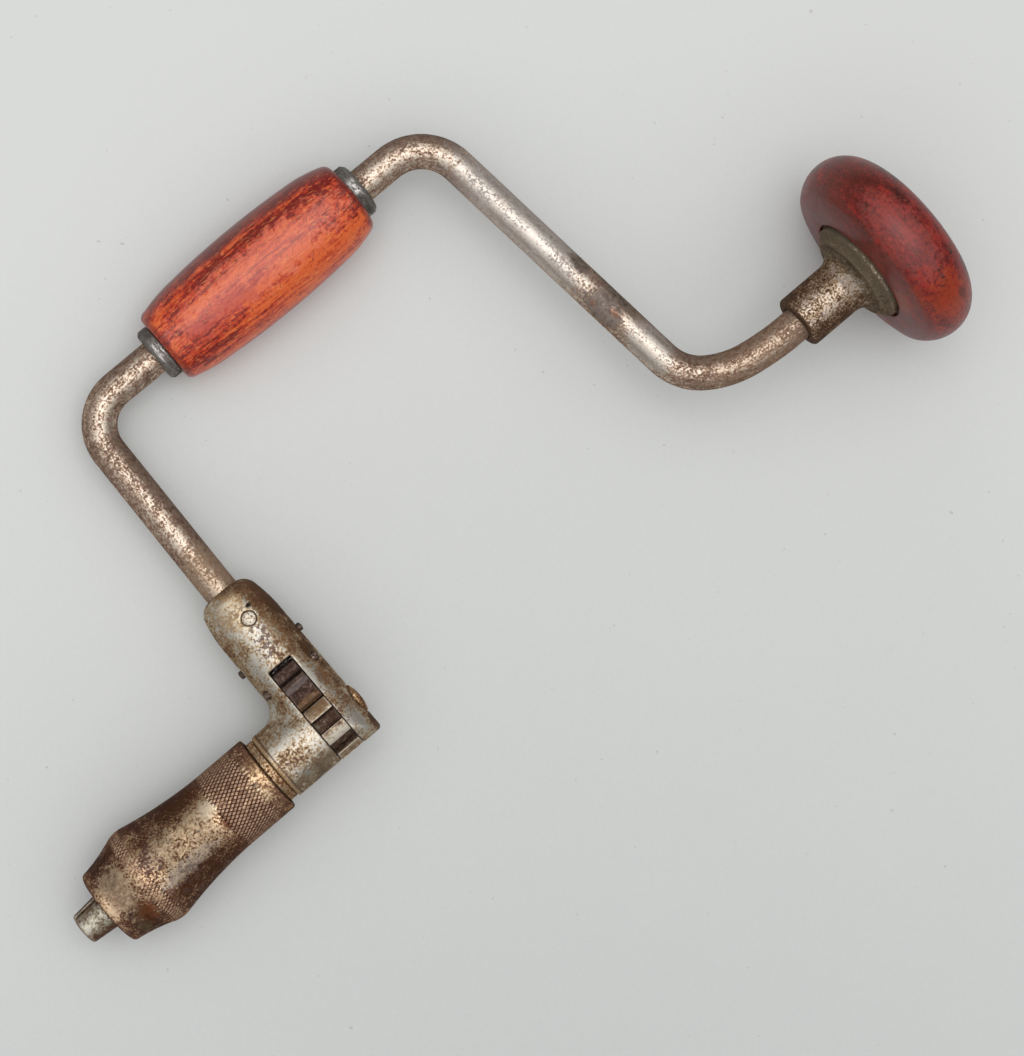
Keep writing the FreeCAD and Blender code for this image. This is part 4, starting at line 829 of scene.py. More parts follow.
    GRIP = WoodFinish(
        "grip_wood", deep=(0.19, 0.011, 0.007), middle=(0.52, 0.052, 0.018),
        pale=(0.70, 0.125, 0.030), light=(0.86, 0.32, 0.10), streak=(0.070, 0.009, 0.008),
        stripe_share=0.95, streak_share=0.95, fibre_share=0.8, grain_share=0.7,
        blotch_share=0.5, light_share=0.5, shaded_side_shift=-0.42, coat=0.65, coat_index=1.5,
        patches=(
            Patch((178.0, 143.5, 5.0), (80.0, 8.5, 15.0), colour=(0.10, 0.012, 0.008),
                  strength=0.62, ragged=0.6, grain=5.0),
            # Painted sheen: a pale pink band along the top of the grip.
            Patch((180.0, 125.5, 16.0), (40.0, 8.5, 8.0), shift=0.14,
                  colour=(0.78, 0.23, 0.16), strength=0.33, ragged=1.2),
            Patch((190.0, 116.0, 10.0), (34.0, 6.0, 12.0), shift=0.14, ragged=0.8,
                  grain=4.0),
            Patch((162.0, 122.0, 16.0), (18.0, 4.0, 8.0), shift=-0.14,
                  colour=(0.38, 0.022, 0.020), strength=0.45, ragged=1.1),
            Patch((139.8, 127.0, 0.0), (2.6, 30.0, 30.0), colour=(0.14, 0.016, 0.012),
                  strength=0.6),
            Patch((218.4, 127.0, 0.0), (2.6, 30.0, 30.0), colour=(0.14, 0.016, 0.012),
                  strength=0.6)))
    HEAD = WoodFinish(
        "head_wood", deep=(0.055, 0.010, 0.008), middle=(0.160, 0.014, 0.012),
        pale=(0.27, 0.023, 0.015), light=(0.36, 0.085, 0.035), streak=(0.060, 0.018, 0.014),
        stretch=(1.0, 0.14, 0.5), stripe_share=0.7, streak_share=0.7, blotch_share=0.9,
        fibre_share=0.7, grain_share=0.5, light_share=0.4, line_share=0.3,
        spot_cover=0.32, coat=0.42, coat_index=1.5, coat_roughness=0.26, patches=(
            # Painted sheen: a mauve band across the top of the head.
            Patch((340.0, 0.0, 35.0), (9.5, 22.0, 9.0), shift=0.06,
                  colour=(0.30, 0.085, 0.075), strength=0.28, ragged=1.4, grain=2.0),
            Patch((342.5, -24.5, 18.0), (7.5, 9.0, 20.0), shift=0.16,
                  colour=(0.34, 0.050, 0.010), strength=0.5, ragged=1.7, grain=1.4),
            Patch((341.0, 22.0, 16.0), (14.0, 13.0, 22.0), shift=-0.14,
                  colour=(0.17, 0.026, 0.014), strength=0.4, ragged=1.2),
            Patch((346.3, -26.5, 20.0), (1.8, 2.4, 14.0), colour=(0.08, 0.012, 0.008),
                  strength=0.7, ragged=0.8, grain=1.2),
            Patch((331.2, 0.0, 0.0), (5.6, 60.0, 60.0), shift=-0.05,
                  colour=(0.135, 0.032, 0.024), strength=0.5, ragged=0.9, grain=2.0),
            # Orange wood with a painted highlight at the edge by the flange, lower right.
            Patch((331.5, -16.0, 14.0), (3.6, 6.0, 8.0), colour=(0.26, 0.046, 0.018),
                  strength=0.6, ragged=1.0, grain=1.5),
            Patch((334.2, -15.0, 20.0), (2.0, 9.0, 9.0), colour=(0.34, 0.050, 0.012),
                  strength=0.6, ragged=1.0, grain=1.5)))

    def __init__(self) -> None:
        """Builds the shared effects and keeps the materials made so far."""
        self.effects = Effects()
        self.made: dict[str, bpy.types.Material] = {}

    def get(self, finish: SteelFinish | WoodFinish) -> bpy.types.Material:
        """Material of a finish, built the first time that it is asked for.

        Args:
            finish: One of the finishes.

        Returns:
            Its material.
        """
        if finish.name not in self.made:
            self.made[finish.name] = finish.material(self.effects)
        return self.made[finish.name]


# Meshes

@dataclass(frozen=True)
class Corner:
    """Point of a turned outline, in millimetres along and away from the axis.

    The bend is the radius of the arc that runs on to the next corner: above zero it curves
    to the left, below zero to the right, and at zero the run is straight. The step is the
    longest distance between rings on that run, or 0 for the piece's own.
    """

    x: float
    radius: float
    bend: float = 0.0
    step: float = 0.0


def arc_points(first: Corner, last: Corner, step: float) -> list[tuple[float, float]]:
    """Points of the run from one corner to the next, without its last point.

    Args:
        first: Corner that the run starts at, with its bend.
        last: Corner that the run ends at.
        step: Longest distance between points, in millimetres.

    Returns:
        Places along and away from the axis.
    """
    start = np.array((first.x, first.radius))
    end = np.array((last.x, last.radius))
    chord = end - start
    length = float(np.hypot(*chord))
    step = first.step or step
    if first.bend == 0.0:
        count = max(1, round(length / step + 0.45))
        return [tuple(start + chord * number / count) for number in range(count)]
    radius = max(abs(first.bend), length / 2)
    left = np.array((-chord[1], chord[0])) / length
    centre = (start + end) / 2 + left * math.copysign(
        math.sqrt(max(radius * radius - length * length / 4, 0.0)), first.bend)
    angles = [math.atan2(*(point - centre)[::-1]) for point in (start, end)]
    turn = (angles[1] - angles[0] + math.pi) % (2 * math.pi) - math.pi
    count = max(2, math.ceil(abs(turn) * radius / step))
    return [(centre[0] + radius * math.cos(angles[0] + turn * number / count),
             centre[1] + radius * math.sin(angles[0] + turn * number / count))
            for number in range(count)]


def eased(points: list[tuple[float, float]], reach: float) -> list[tuple[float, float]]:
    """Outline with its sharp corners rounded, as wear leaves them.

    Args:
        points: Closed outline.
        reach: Distance over which a corner is rounded, in millimetres.

    Returns:
        The rounded outline.
    """
    rounded = []
    sharp_turn = math.radians(25)
    most = 0.45
    for number, point in enumerate(points):
        here = Vector(point)
        back = Vector(points[number - 1]) - here
        ahead = Vector(points[(number + 1) % len(points)]) - here
        turn = math.pi - back.angle(ahead, 0.0)
        if turn < sharp_turn or here.y < 1e-6:
            rounded.append(point)
            continue
        start = here + back.normalized() * min(reach, back.length * most)
        end = here + ahead.normalized() * min(reach, ahead.length * most)
        for share in (0.0, 0.5, 1.0):
            place = (start * (1 - share) ** 2 + here * 2 * share * (1 - share)
                     + end * share ** 2)
            rounded.append((place.x, place.y))
    return rounded


def turned_mesh(name: str, corners: Sequence[Corner], centre_y: float = 0.0, step: float = 1.0,
                segments: int = 144, ease: float = 0.25,
                centre_z: float = 0.0) -> bpy.types.Object:
    """Piece turned on a lathe about an axis along X.

    Args:
        name: Name of the piece.
        corners: Closed outline of half the section.
        centre_y: Place of the axis along Y, in millimetres.
        step: Longest distance between rings, in millimetres.
        segments: Faces round the axis.
        ease: Rounding of sharp corners, in millimetres.
        centre_z: Place of the axis along Z, in millimetres.

    Returns:
        The new object.
    """
    points: list[tuple[float, float]] = []
    for number, corner in enumerate(corners):
        points += arc_points(corner, corners[(number + 1) % len(corners)], step)
    points = eased(points, ease)
    angles = np.arange(segments) * 2 * math.pi / segments
    vertices = np.concatenate([
        np.column_stack((np.full(segments, x), centre_y + radius * np.sin(angles),
                         centre_z + radius * np.cos(angles))) for x, radius in points]) * MM
    faces = []
    for ring in range(len(points)):
        ahead = (ring + 1) % len(points)
        for number in range(segments):
            beside = (number + 1) % segments
            faces.append((ring * segments + number, ahead * segments + number,
                          ahead * segments + beside, ring * segments + beside))
    mesh = bpy.data.meshes.new(name)
    mesh.from_pydata(vertices.tolist(), [], faces)
    return settled(name, mesh)


def placed(name: str, data: Any) -> bpy.types.Object:
    """New object in the scene, with its mesh, curve, lamp or camera.

    Args:
        name: Name of the object.
        data: Its mesh, curve, lamp or camera.

    Returns:
        The object.
    """
    piece = bpy.data.objects.new(name, data)
    bpy.context.scene.collection.objects.link(piece)
    return piece


def settled(name: str, mesh: bpy.types.Mesh) -> bpy.types.Object:
    """Object of a mesh whose doubles are merged and whose faces point outwards.

    Args:
        name: Name of the object.
        mesh: Its mesh, in metres in the part's frame.

    Returns:
        The object, linked to the scene.
    """
    shape = bmesh.new()
    shape.from_mesh(mesh)
    bmesh.ops.remove_doubles(shape, verts=shape.verts, dist=1e-7)
    bmesh.ops.dissolve_degenerate(shape, edges=shape.edges, dist=1e-8)
    loose = [edge for edge in shape.edges if not edge.link_faces]
    bmesh.ops.delete(shape, geom=loose, context="EDGES")
    bmesh.ops.recalc_face_normals(shape, faces=shape.faces)
    for face in shape.faces:
        face.smooth = True
    shape.to_mesh(mesh)
    shape.free()
    return placed(name, mesh)


def applied(piece: bpy.types.Object) -> bpy.types.Object:
    """Turns what a piece's modifiers give into its plain mesh.

    Args:
        piece: Object with modifiers. It is removed.

    Returns:
        A plain object of the same name.
    """
    graph = bpy.context.evaluated_depsgraph_get()
    mesh = bpy.data.meshes.new_from_object(piece.evaluated_get(graph), depsgraph=graph)
    name = piece.name
    bpy.data.objects.remove(piece)
    mesh.name = name
    return placed(name, mesh)


def worn_copy(name: str, node: str, voxel: float, rounds: int) -> bpy.types.Object:
    """Copy of a solid whose edges are rounded by a fine remesh and smoothing.

    Args:
        name: Name of the piece.
        node: The solid that it copies.
        voxel: Size of the new mesh's cells, in millimetres.
        rounds: Rounds of smoothing.

    Returns:
        The new piece.
    """
    shape = bmesh.new()
    shape.from_mesh(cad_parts[node].data)
    bmesh.ops.remove_doubles(shape, verts=shape.verts, dist=1e-6)
    mesh = bpy.data.meshes.new(name)
    shape.to_mesh(mesh)
    shape.free()
    piece = placed(name, mesh)
    remesh = piece.modifiers.new("remesh", "REMESH")
    remesh.mode = "VOXEL"
    remesh.voxel_size = voxel * MM
    remesh.use_smooth_shade = True
    smooth = piece.modifiers.new("smooth", "SMOOTH")
    smooth.factor = 0.5
    smooth.iterations = rounds
    result = applied(piece)
    result.data.materials.clear()
    return result


def vertex_arrays(mesh: bpy.types.Mesh) -> tuple[np.ndarray, np.ndarray, np.ndarray]:
    """Places, normals and edges of a mesh.

    Args:
        mesh: The mesh to read.

    Returns:
        Places and normals, a row for each vertex, and the vertex pair of each edge.
    """
    count = len(mesh.vertices)
    places = np.empty(count * 3)
    mesh.vertices.foreach_get("co", places)
    normals = np.empty(count * 3, dtype=np.float32)
    mesh.vertex_normals.foreach_get("vector", normals)
    edges = np.empty(len(mesh.edges) * 2, dtype=np.int32)
    mesh.edges.foreach_get("vertices", edges)
    return places.reshape(-1, 3), normals.reshape(-1, 3).astype(float), edges.reshape(-1, 2)


@dataclass(frozen=True)
class Dent:
    """Round hollow in a surface, in millimetres."""

    centre: Point
    radius: float
    depth: float


def roughen(piece: bpy.types.Object, depth: float, size: float, dents: Sequence[Dent] = (),
            seed: float = 0.0) -> None:
    """Makes a surface uneven along its normals and presses dents into it.

    Args:
        piece: Piece whose mesh is changed.
        depth: Largest unevenness, in millimetres. It all lies below the first surface.
        size: Width of its waves, in millimetres.
        dents: Dents to press in.
        seed: Shift of the noise, so that pieces differ.
    """
    mesh = piece.data
    places, normals, _ = vertex_arrays(mesh)
    shift = Vector((seed, seed * 2.0, seed * 3.0))
    rise = np.array([noise.noise(Vector(place) / (size * MM) + shift) for place in places])
    moved = (rise - 1.0) * depth * MM / 2
    for dent in dents:
        away = np.linalg.norm(places - np.array(dent.centre) * MM, axis=1) / (dent.radius * MM)
        moved -= np.clip(1 - away ** 2, 0, 1) ** 2 * dent.depth * MM
    mesh.vertices.foreach_set("co", (places + normals * moved[:, None]).ravel())
    mesh.update()


def mark_surface(piece: bpy.types.Object, rounds: int = 6, full: float = 0.06) -> None:
    """Stores masks of the edges, the corners and the sides of a piece on its vertices.

    A vertex that stands out of its surroundings is on an edge, one that lies deeper is in a
    corner, and one that faces away from Z is on a side. The finishes darken the corners with
    dirt and painted shade, and the sides and the side facing +X and +Y with painted shade,
    partly darker film.

    Args:
        piece: Piece whose mesh gets the attributes.
        rounds: Rounds of averaging over neighbours.
        full: Height that counts as a full edge, in millimetres.
    """
    mesh = piece.data
    places, normals, edges = vertex_arrays(mesh)
    count = np.bincount(edges.ravel(), minlength=len(places)).clip(1)[:, None]
    mean = places.copy()
    for _ in range(rounds):
        total = np.zeros_like(mean)
        np.add.at(total, edges[:, 0], mean[edges[:, 1]])
        np.add.at(total, edges[:, 1], mean[edges[:, 0]])
        mean = total / count
    height = np.einsum("ij,ij->i", places - mean, normals) / (full * MM)
    top, side = 0.96, 0.55
    # Painted shade: the sides, facing away from Z, are marked to be darkened, partly as darker
    # film.
    flank = (top - np.abs(normals[:, 2])) / (top - side)
    # Painted shade: the side facing +X and +Y is marked to be darkened, partly as darker film.
    lee = (normals @ np.array((0.8, 0.6, 0.0)) - 0.15) / 0.45
    for name, marked in (("edge", height), ("corner", -height), ("flank", flank),
                         ("lee", lee)):
        mark(piece, name, marked)


def mark(piece: bpy.types.Object, name: str, values: np.ndarray) -> None:
    """Stores one value for each vertex, cut off below 0 and above 1.

    Args:
        piece: Piece whose mesh gets the values.
        name: Name of the attribute.
        values: A number for each vertex.
    """
    held = piece.data.attributes.get(name)
    attribute = held or piece.data.attributes.new(name, "FLOAT", "POINT")
    attribute.data.foreach_set("value", np.clip(values, 0, 1).astype(np.float32))


@dataclass
class Assembly:
    """Sub-assembly whose pieces wear the shared finishes."""

    finishes: Finishes

    def put_in(self, piece: bpy.types.Object, finish: SteelFinish | WoodFinish, body: str,
               slot: str, *nodes: str) -> None:
        """Gives a finished piece its one material and hands it over to the frame.

        Args:
            piece: The finished piece.
            finish: Finish that it wears.
            body: Body that it rides on.
            slot: The record's material slot; not used.
            *nodes: Solids that it stands for.
        """
        piece.data.materials.clear()
        piece.data.materials.append(self.finishes.get(finish))
        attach(piece, body)
        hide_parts(*nodes)
        LOG.info("%s: %d faces on %s", piece.name, len(piece.data.polygons), body)

    def put_worn(self, name: str, voxel: float, finish: SteelFinish, body: str, slot: str,
                 node: str) -> None:
        """Hands a worn copy of a small solid over to the frame.

        Args:
            name: Name of the piece.
            voxel: Size of the new mesh's cells, in millimetres.
            finish: Finish that it wears.
            body: Body that it rides on.
            slot: The record's material slot.
            node: The solid that it copies.
        """
        piece = worn_copy(name, node, voxel, rounds=3)
        mark_surface(piece, full=0.05)
        self.put_in(piece, finish, body, slot, node)

    def refinish(self, finish: SteelFinish, node: str) -> None:
        """Gives a solid that stays as it is a better material.

        Args:
            finish: Finish that it wears.
            node: The solid.
        """
        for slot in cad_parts[node].material_slots:
            slot.material = self.finishes.get(finish)
        LOG.info("%s: solid kept, finish %s", node, finish.name)


# Geometry Nodes

class GeometryTree(NamedTree):
    """Geometry Nodes tree with named inputs, for a modifier."""

    def __init__(self, name: str, inputs: dict[str, Any]) -> None:
        """Starts the tree.

        Args:
            name: Name of the tree.
            inputs: Default of each input besides the geometry and the material, by name.
        """
        geometry = {"Geometry": SocketKind.GEOMETRY}
        super().__init__(name, "GeometryNodeTree", {
            **geometry, **inputs, "Material": SocketKind.MATERIAL}, geometry)

    def stored(self, geometry: Signal, name: str, value: Signal, kind: str) -> Signal:
        """Geometry whose points keep a value under a name.

        Args:
            geometry: Curve or mesh.
            name: Name of the attribute.
            value: Value at each point.
            kind: Blender's name of the value's type.

        Returns:
            The geometry with the attribute.
        """
        return self.node("GeometryNodeStoreNamedAttribute", {
            "Geometry": geometry, "Name": name, "Value": value}, data_type=kind,
            domain="POINT")["Geometry"]

    def raised(self, geometry: Signal, height: Signal) -> Signal:
        """Surface that is moved along its normals.

        Args:
            geometry: Mesh to move.
            height: Distance, in metres.

        Returns:
            The moved mesh.
        """
        normal = self.node("GeometryNodeInputNormal")["Normal"]
        offset = self.node("ShaderNodeVectorMath", {0: normal, "Scale": height},
                           operation="SCALE")[0]
        return self.node("GeometryNodeSetPosition", {"Geometry": geometry, "Offset": offset})[0]

    def finish(self, geometry: Signal) -> None:
        """Ends the tree with real geometry and its material.

        Args:
            geometry: Result of the tree's own nodes.
        """
        real = self.node("GeometryNodeRealizeInstances", {"Geometry": geometry})[0]
        self.closed({"Geometry": self.node("GeometryNodeSetMaterial", {
            "Geometry": real, "Material": self.given["Material"]})[0]})

    def put_on(self, piece: bpy.types.Object, values: dict[str, Any]) -> bpy.types.Object:
        """Runs the tree on a piece.

        Args:
            piece: Object that the tree works on.
            values: Values of the inputs, by name.

        Returns:
            A plain object with the result.
        """
        modifier = piece.modifiers.new(self.tree.name, "NODES")
        modifier.node_group = self.tree
        names = {item.name: item.identifier for item in self.tree.interface.items_tree
                 if item.in_out == "INPUT"}
        for label, given in values.items():
            modifier[names[label]] = given
        return applied(piece)


# Crank

@dataclass
class CrankBar(Assembly):
    """Bent round bar with a turned journal inside the head."""

    diameter: float = 11.5
    sweep: float = 127.0
    start_x: float = 102.95
    start_y: float = 34.0
    box_top_y: float = 54.2
    lean: float = 1.5
    lean_radius: float = 200.0
    lower_elbow: float = 15.0
    upper_elbow: float = 17.0
    slant: float = 6.4
    foot_end_x: float = 301.1
    shoulder_x: float = 309.0
    journal_radius: float = 4.5
    journal_end_x: float = 333.0
    thread_radius: float = 4.0
    thread_end_x: float = 339.3
    step: float = 0.9
    sides: int = 56
    unevenness: float = 0.05
    wave_length: float = 9.0

    def centre_line(self) -> list[tuple[float, float]]:
        """Points of the bar's centre line in the plane of the bow.

        Returns:
            Places along X and Y, in millimetres.
        """
        turn = 90.0 - self.slant
        foot = ((18.0, turn, 35.0), (35.0, 35.0, 10.0), (100.0, 10.0, 0.0))
        fall = sum(radius * (cosine(end) - cosine(start)) for radius, start, end in foot)
        reach = sum(radius * (sine(start) - sine(end)) for radius, start, end in foot)
        pen = Pen(self.start_x, self.start_y, 90.0, self.step)
        pen.run(self.box_top_y - self.start_y)
        pen.bend(self.lean_radius, -self.lean)
        rise = self.sweep - pen.y - self.lower_elbow * (1 - sine(self.lean))
        pen.run(rise / cosine(self.lean))
        pen.bend(self.lower_elbow, self.lean - 90.0)
        drop = (self.sweep - self.upper_elbow * (1 - cosine(turn)) - fall) / sine(turn)
        across = self.upper_elbow * sine(turn) + drop * cosine(turn) + reach
        pen.run(self.foot_end_x - across - pen.x)
        pen.bend(self.upper_elbow, -turn)
        pen.run(drop)
        for radius, start, end in foot:
            pen.bend(radius, start - end)
        pen.run(self.shoulder_x - self.foot_end_x)
        return pen.points

    def tree(self) -> GeometryTree:
        """Tree that draws a round bar along a curve.

        Returns:
            The finished tree.
        """
        tree = GeometryTree("bar_along_path", {
            "Radius": 0.005, "Sides": 32, "Step": 0.001, "Unevenness": 0.0,
            "Wave Length": 0.01})
        given = tree.given
        even = tree.node("GeometryNodeResampleCurve", {
            "Curve": given["Geometry"], "Length": given["Step"]}, mode="LENGTH")["Curve"]
        length = tree.node("GeometryNodeSplineParameter")["Length"]
        circle = tree.node("GeometryNodeCurvePrimitiveCircle", {
            "Resolution": given["Sides"], "Radius": given["Radius"]})["Curve"]
        place = tree.node("GeometryNodeInputPosition")["Position"]
        bar = tree.node("GeometryNodeCurveToMesh", {
            "Curve": tree.stored(even, "along", length, "FLOAT"),
            "Profile Curve": tree.stored(circle, "across", place, "FLOAT_VECTOR"),
            "Fill Caps": True})["Mesh"]
        waves = tree.node("ShaderNodeTexNoise", {
            "Scale": 1.0 / given["Wave Length"], "Detail": 2.0})["Fac"]
        tree.finish(tree.raised(bar, (waves - 0.5) * given["Unevenness"]))
        return tree

    def build(self) -> None:
        """Makes the bar and dresses it."""
        curve = bpy.data.curves.new("crank_bar", "CURVE")
        curve.dimensions = "3D"
        points = self.centre_line()
        spline = curve.splines.new("POLY")
        spline.points.add(len(points) - 1)
        for point, (x, y) in zip(spline.points, points):
            point.co = (x * MM, y * MM, 0.0, 1.0)
        path = placed("crank_bar", curve)
        bar = self.tree().put_on(path, {
            "Radius": self.diameter / 2 * MM, "Sides": self.sides, "Step": self.step * MM,
            "Unevenness": self.unevenness * MM, "Wave Length": self.wave_length * MM,
            "Material": self.finishes.get(Finishes.BAR)})
        journal = turned_mesh("crank_journal", [
            Corner(self.shoulder_x - 1.0, 0.0),
            Corner(self.shoulder_x - 1.0, self.journal_radius),
            Corner(self.journal_end_x, self.journal_radius),
            Corner(self.journal_end_x, self.thread_radius),
            Corner(self.thread_end_x, self.thread_radius),
            Corner(self.thread_end_x, 0.0)], step=2.0, segments=64)
        bar = joined("crank_bar", (bar, journal))
        mark_surface(bar)
        self.put_in(bar, Finishes.BAR, "crank_frame", "crank_bar", "crank")


class Pen:
    """Draws a flat path of straight runs and arcs."""

    def __init__(self, x: float, y: float, heading: float, step: float) -> None:
        """Starts at a place.

        Args:
            x: Place along X, in millimetres.
            y: Place along Y, in millimetres.
            heading: Direction in degrees from X towards Y.
            step: Distance between points.
        """
        self.x = x
        self.y = y
        self.heading = heading
        self.step = step
        self.points = [(x, y)]

    def run(self, length: float) -> None:
        """Draws a straight run.

        Args:
            length: Its length, in millimetres.
        """
        count = max(1, math.ceil(length / self.step))
        for _ in range(count):
            self.x += length / count * cosine(self.heading)
            self.y += length / count * sine(self.heading)
            self.points.append((self.x, self.y))

    def bend(self, radius: float, degrees: float) -> None:
        """Draws an arc that turns left by the given degrees, or right where they are below 0.

        Args:
            radius: Radius of the arc, in millimetres.
            degrees: Angle that the heading turns by.
        """
        count = max(2, math.ceil(radius * math.radians(abs(degrees)) / self.step))
        part = degrees / count
        chord = 2 * radius * sine(abs(part) / 2)
        for _ in range(count):
            self.x += chord * cosine(self.heading + part / 2)
            self.y += chord * sine(self.heading + part / 2)
            self.heading += part
            self.points.append((self.x, self.y))


def sine(degrees: float) -> float:
    """Sine of an angle in degrees."""
    return math.sin(math.radians(degrees))


def cosine(degrees: float) -> float:
    """Cosine of an angle in degrees."""
    return math.cos(math.radians(degrees))


def joined(name: str, pieces: Sequence[bpy.types.Object]) -> bpy.types.Object:
    """Joins pieces into one object.

    Args:
        name: Name of the result.
        pieces: Pieces to join. They are removed.

    Returns:
        The joined object.
    """
    shape = bmesh.new()
    for piece in pieces:
        shape.from_mesh(piece.data)
        bpy.data.objects.remove(piece)
    for face in shape.faces:
        face.smooth = True
        face.material_index = 0
    mesh = bpy.data.meshes.new(name)
    shape.to_mesh(mesh)
    shape.free()
    return placed(name, mesh)


# Ratchet box

@dataclass
class RatchetBox(Assembly):
    """Casting with its rivet, pins, pawls, spring and wheel."""

    casting_voxel: float = 0.36
    pawl_voxel: float = 0.22
    wheel_voxel: float = 0.24
    rivet_voxel: float = 0.2
    slot_x: tuple[float, float] = (97.7, 106.7)
    slot_end_y: float = 24.1
    slot_rim: float = 0.45
    tooth_rim: float = 0.45
    tooth_fade: float = 0.35

    def build(self) -> None:
        """Makes the pieces of the box and dresses them."""
        casting = worn_copy("box_casting", "ratchet_box", self.casting_voxel, rounds=4)
        roughen(casting, depth=0.05, size=5.0, seed=3.0, dents=(
            Dent((107.0, 44.9, 11.2), radius=0.9, depth=0.4),
            Dent((101.0, 12.0, 11.0), radius=2.5, depth=0.08),
            Dent((90.0, 3.0, 11.6), radius=3.0, depth=0.07)))
        mark_surface(casting)
        self.darken_slot(casting)
        self.put_in(casting, Finishes.CASTING, "crank_frame", "ratchet_casting", "ratchet_box")
        for node in ("near_pawl", "far_pawl"):
            self.put_worn(f"{node}_worn", self.pawl_voxel, Finishes.PAWL, node,
                          "ratchet_steel", node)
        self.add_wheel()
        for node, proud in (("near_pawl_pin", 0.3), ("far_pawl_pin", 0.3), ("spring_pin", 0.8)):
            self.add_pin(node, proud)
        self.put_worn("rivet_worn", self.rivet_voxel, Finishes.RIVET, "crank_frame",
                      "pin_steel", "socket_rivet")
        self.refinish(Finishes.SPINDLE, "spindle_end_screw")
        self.refinish(Finishes.SPRING, "pawl_spring")

    def darken_slot(self, casting: bpy.types.Object) -> None:
        """Marks the walls of the casting's slot as sunk, fading out over its rim, for painted
        shade.

        Args:
            casting: The casting's piece.
        """
        places, _, _ = vertex_arrays(casting.data)
        start, end = self.slot_x
        x, y, _ = (places / MM).T
        away = np.maximum(np.maximum(start - x, x - end), y - self.slot_end_y)
        # Painted shade on the slot's walls.
        mark(casting, "sunk", (self.slot_rim - away) / self.slot_rim)

    def add_wheel(self) -> None:
        """Notched wheel, with painted shade over dark oxide on the floors between its teeth."""
        wheel = worn_copy("notched_wheel", "ratchet_wheel", self.wheel_voxel, rounds=3)
        mark_surface(wheel, full=0.05)
        places, _, _ = vertex_arrays(wheel.data)
        radius = np.hypot(places[:, 1], places[:, 2]) / MM
        tip = float(radius.max())
        # Painted shade, over dark oxide, on the floors between the teeth.
        mark(wheel, "sunk", (tip - radius - self.tooth_rim) / self.tooth_fade)
        self.put_in(wheel, Finishes.WHEEL, "spindle", "ratchet_steel", "ratchet_wheel")

    def add_pin(self, node: str, proud: float) -> None:
        """Pin along X whose ends are domed.

        Args:
            node: The solid that it stands for.
            proud: Height of the domed ends over the solid's, in millimetres.
        """
        low, high = (Vector(corner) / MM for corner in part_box(node))
        middle = (low + high) / 2
        radius = (high.y - low.y) / 2
        ease = 0.25
        pin = turned_mesh(f"{node}_worn", [
            Corner(low.x - proud, 0.0), Corner(high.x + proud, 0.0),
            Corner(high.x + proud - ease, radius * 0.9), Corner(high.x, radius),
            Corner(low.x, radius), Corner(low.x - proud + ease, radius * 0.9),
        ], centre_y=middle.y, step=0.3, segments=48, ease=0.15, centre_z=middle.z)
        roughen(pin, depth=0.05, size=0.9, seed=proud)
        mark_surface(pin, rounds=10, full=0.08)
        self.put_in(pin, Finishes.PIN, "crank_frame", "pin_steel", node)


# Chuck

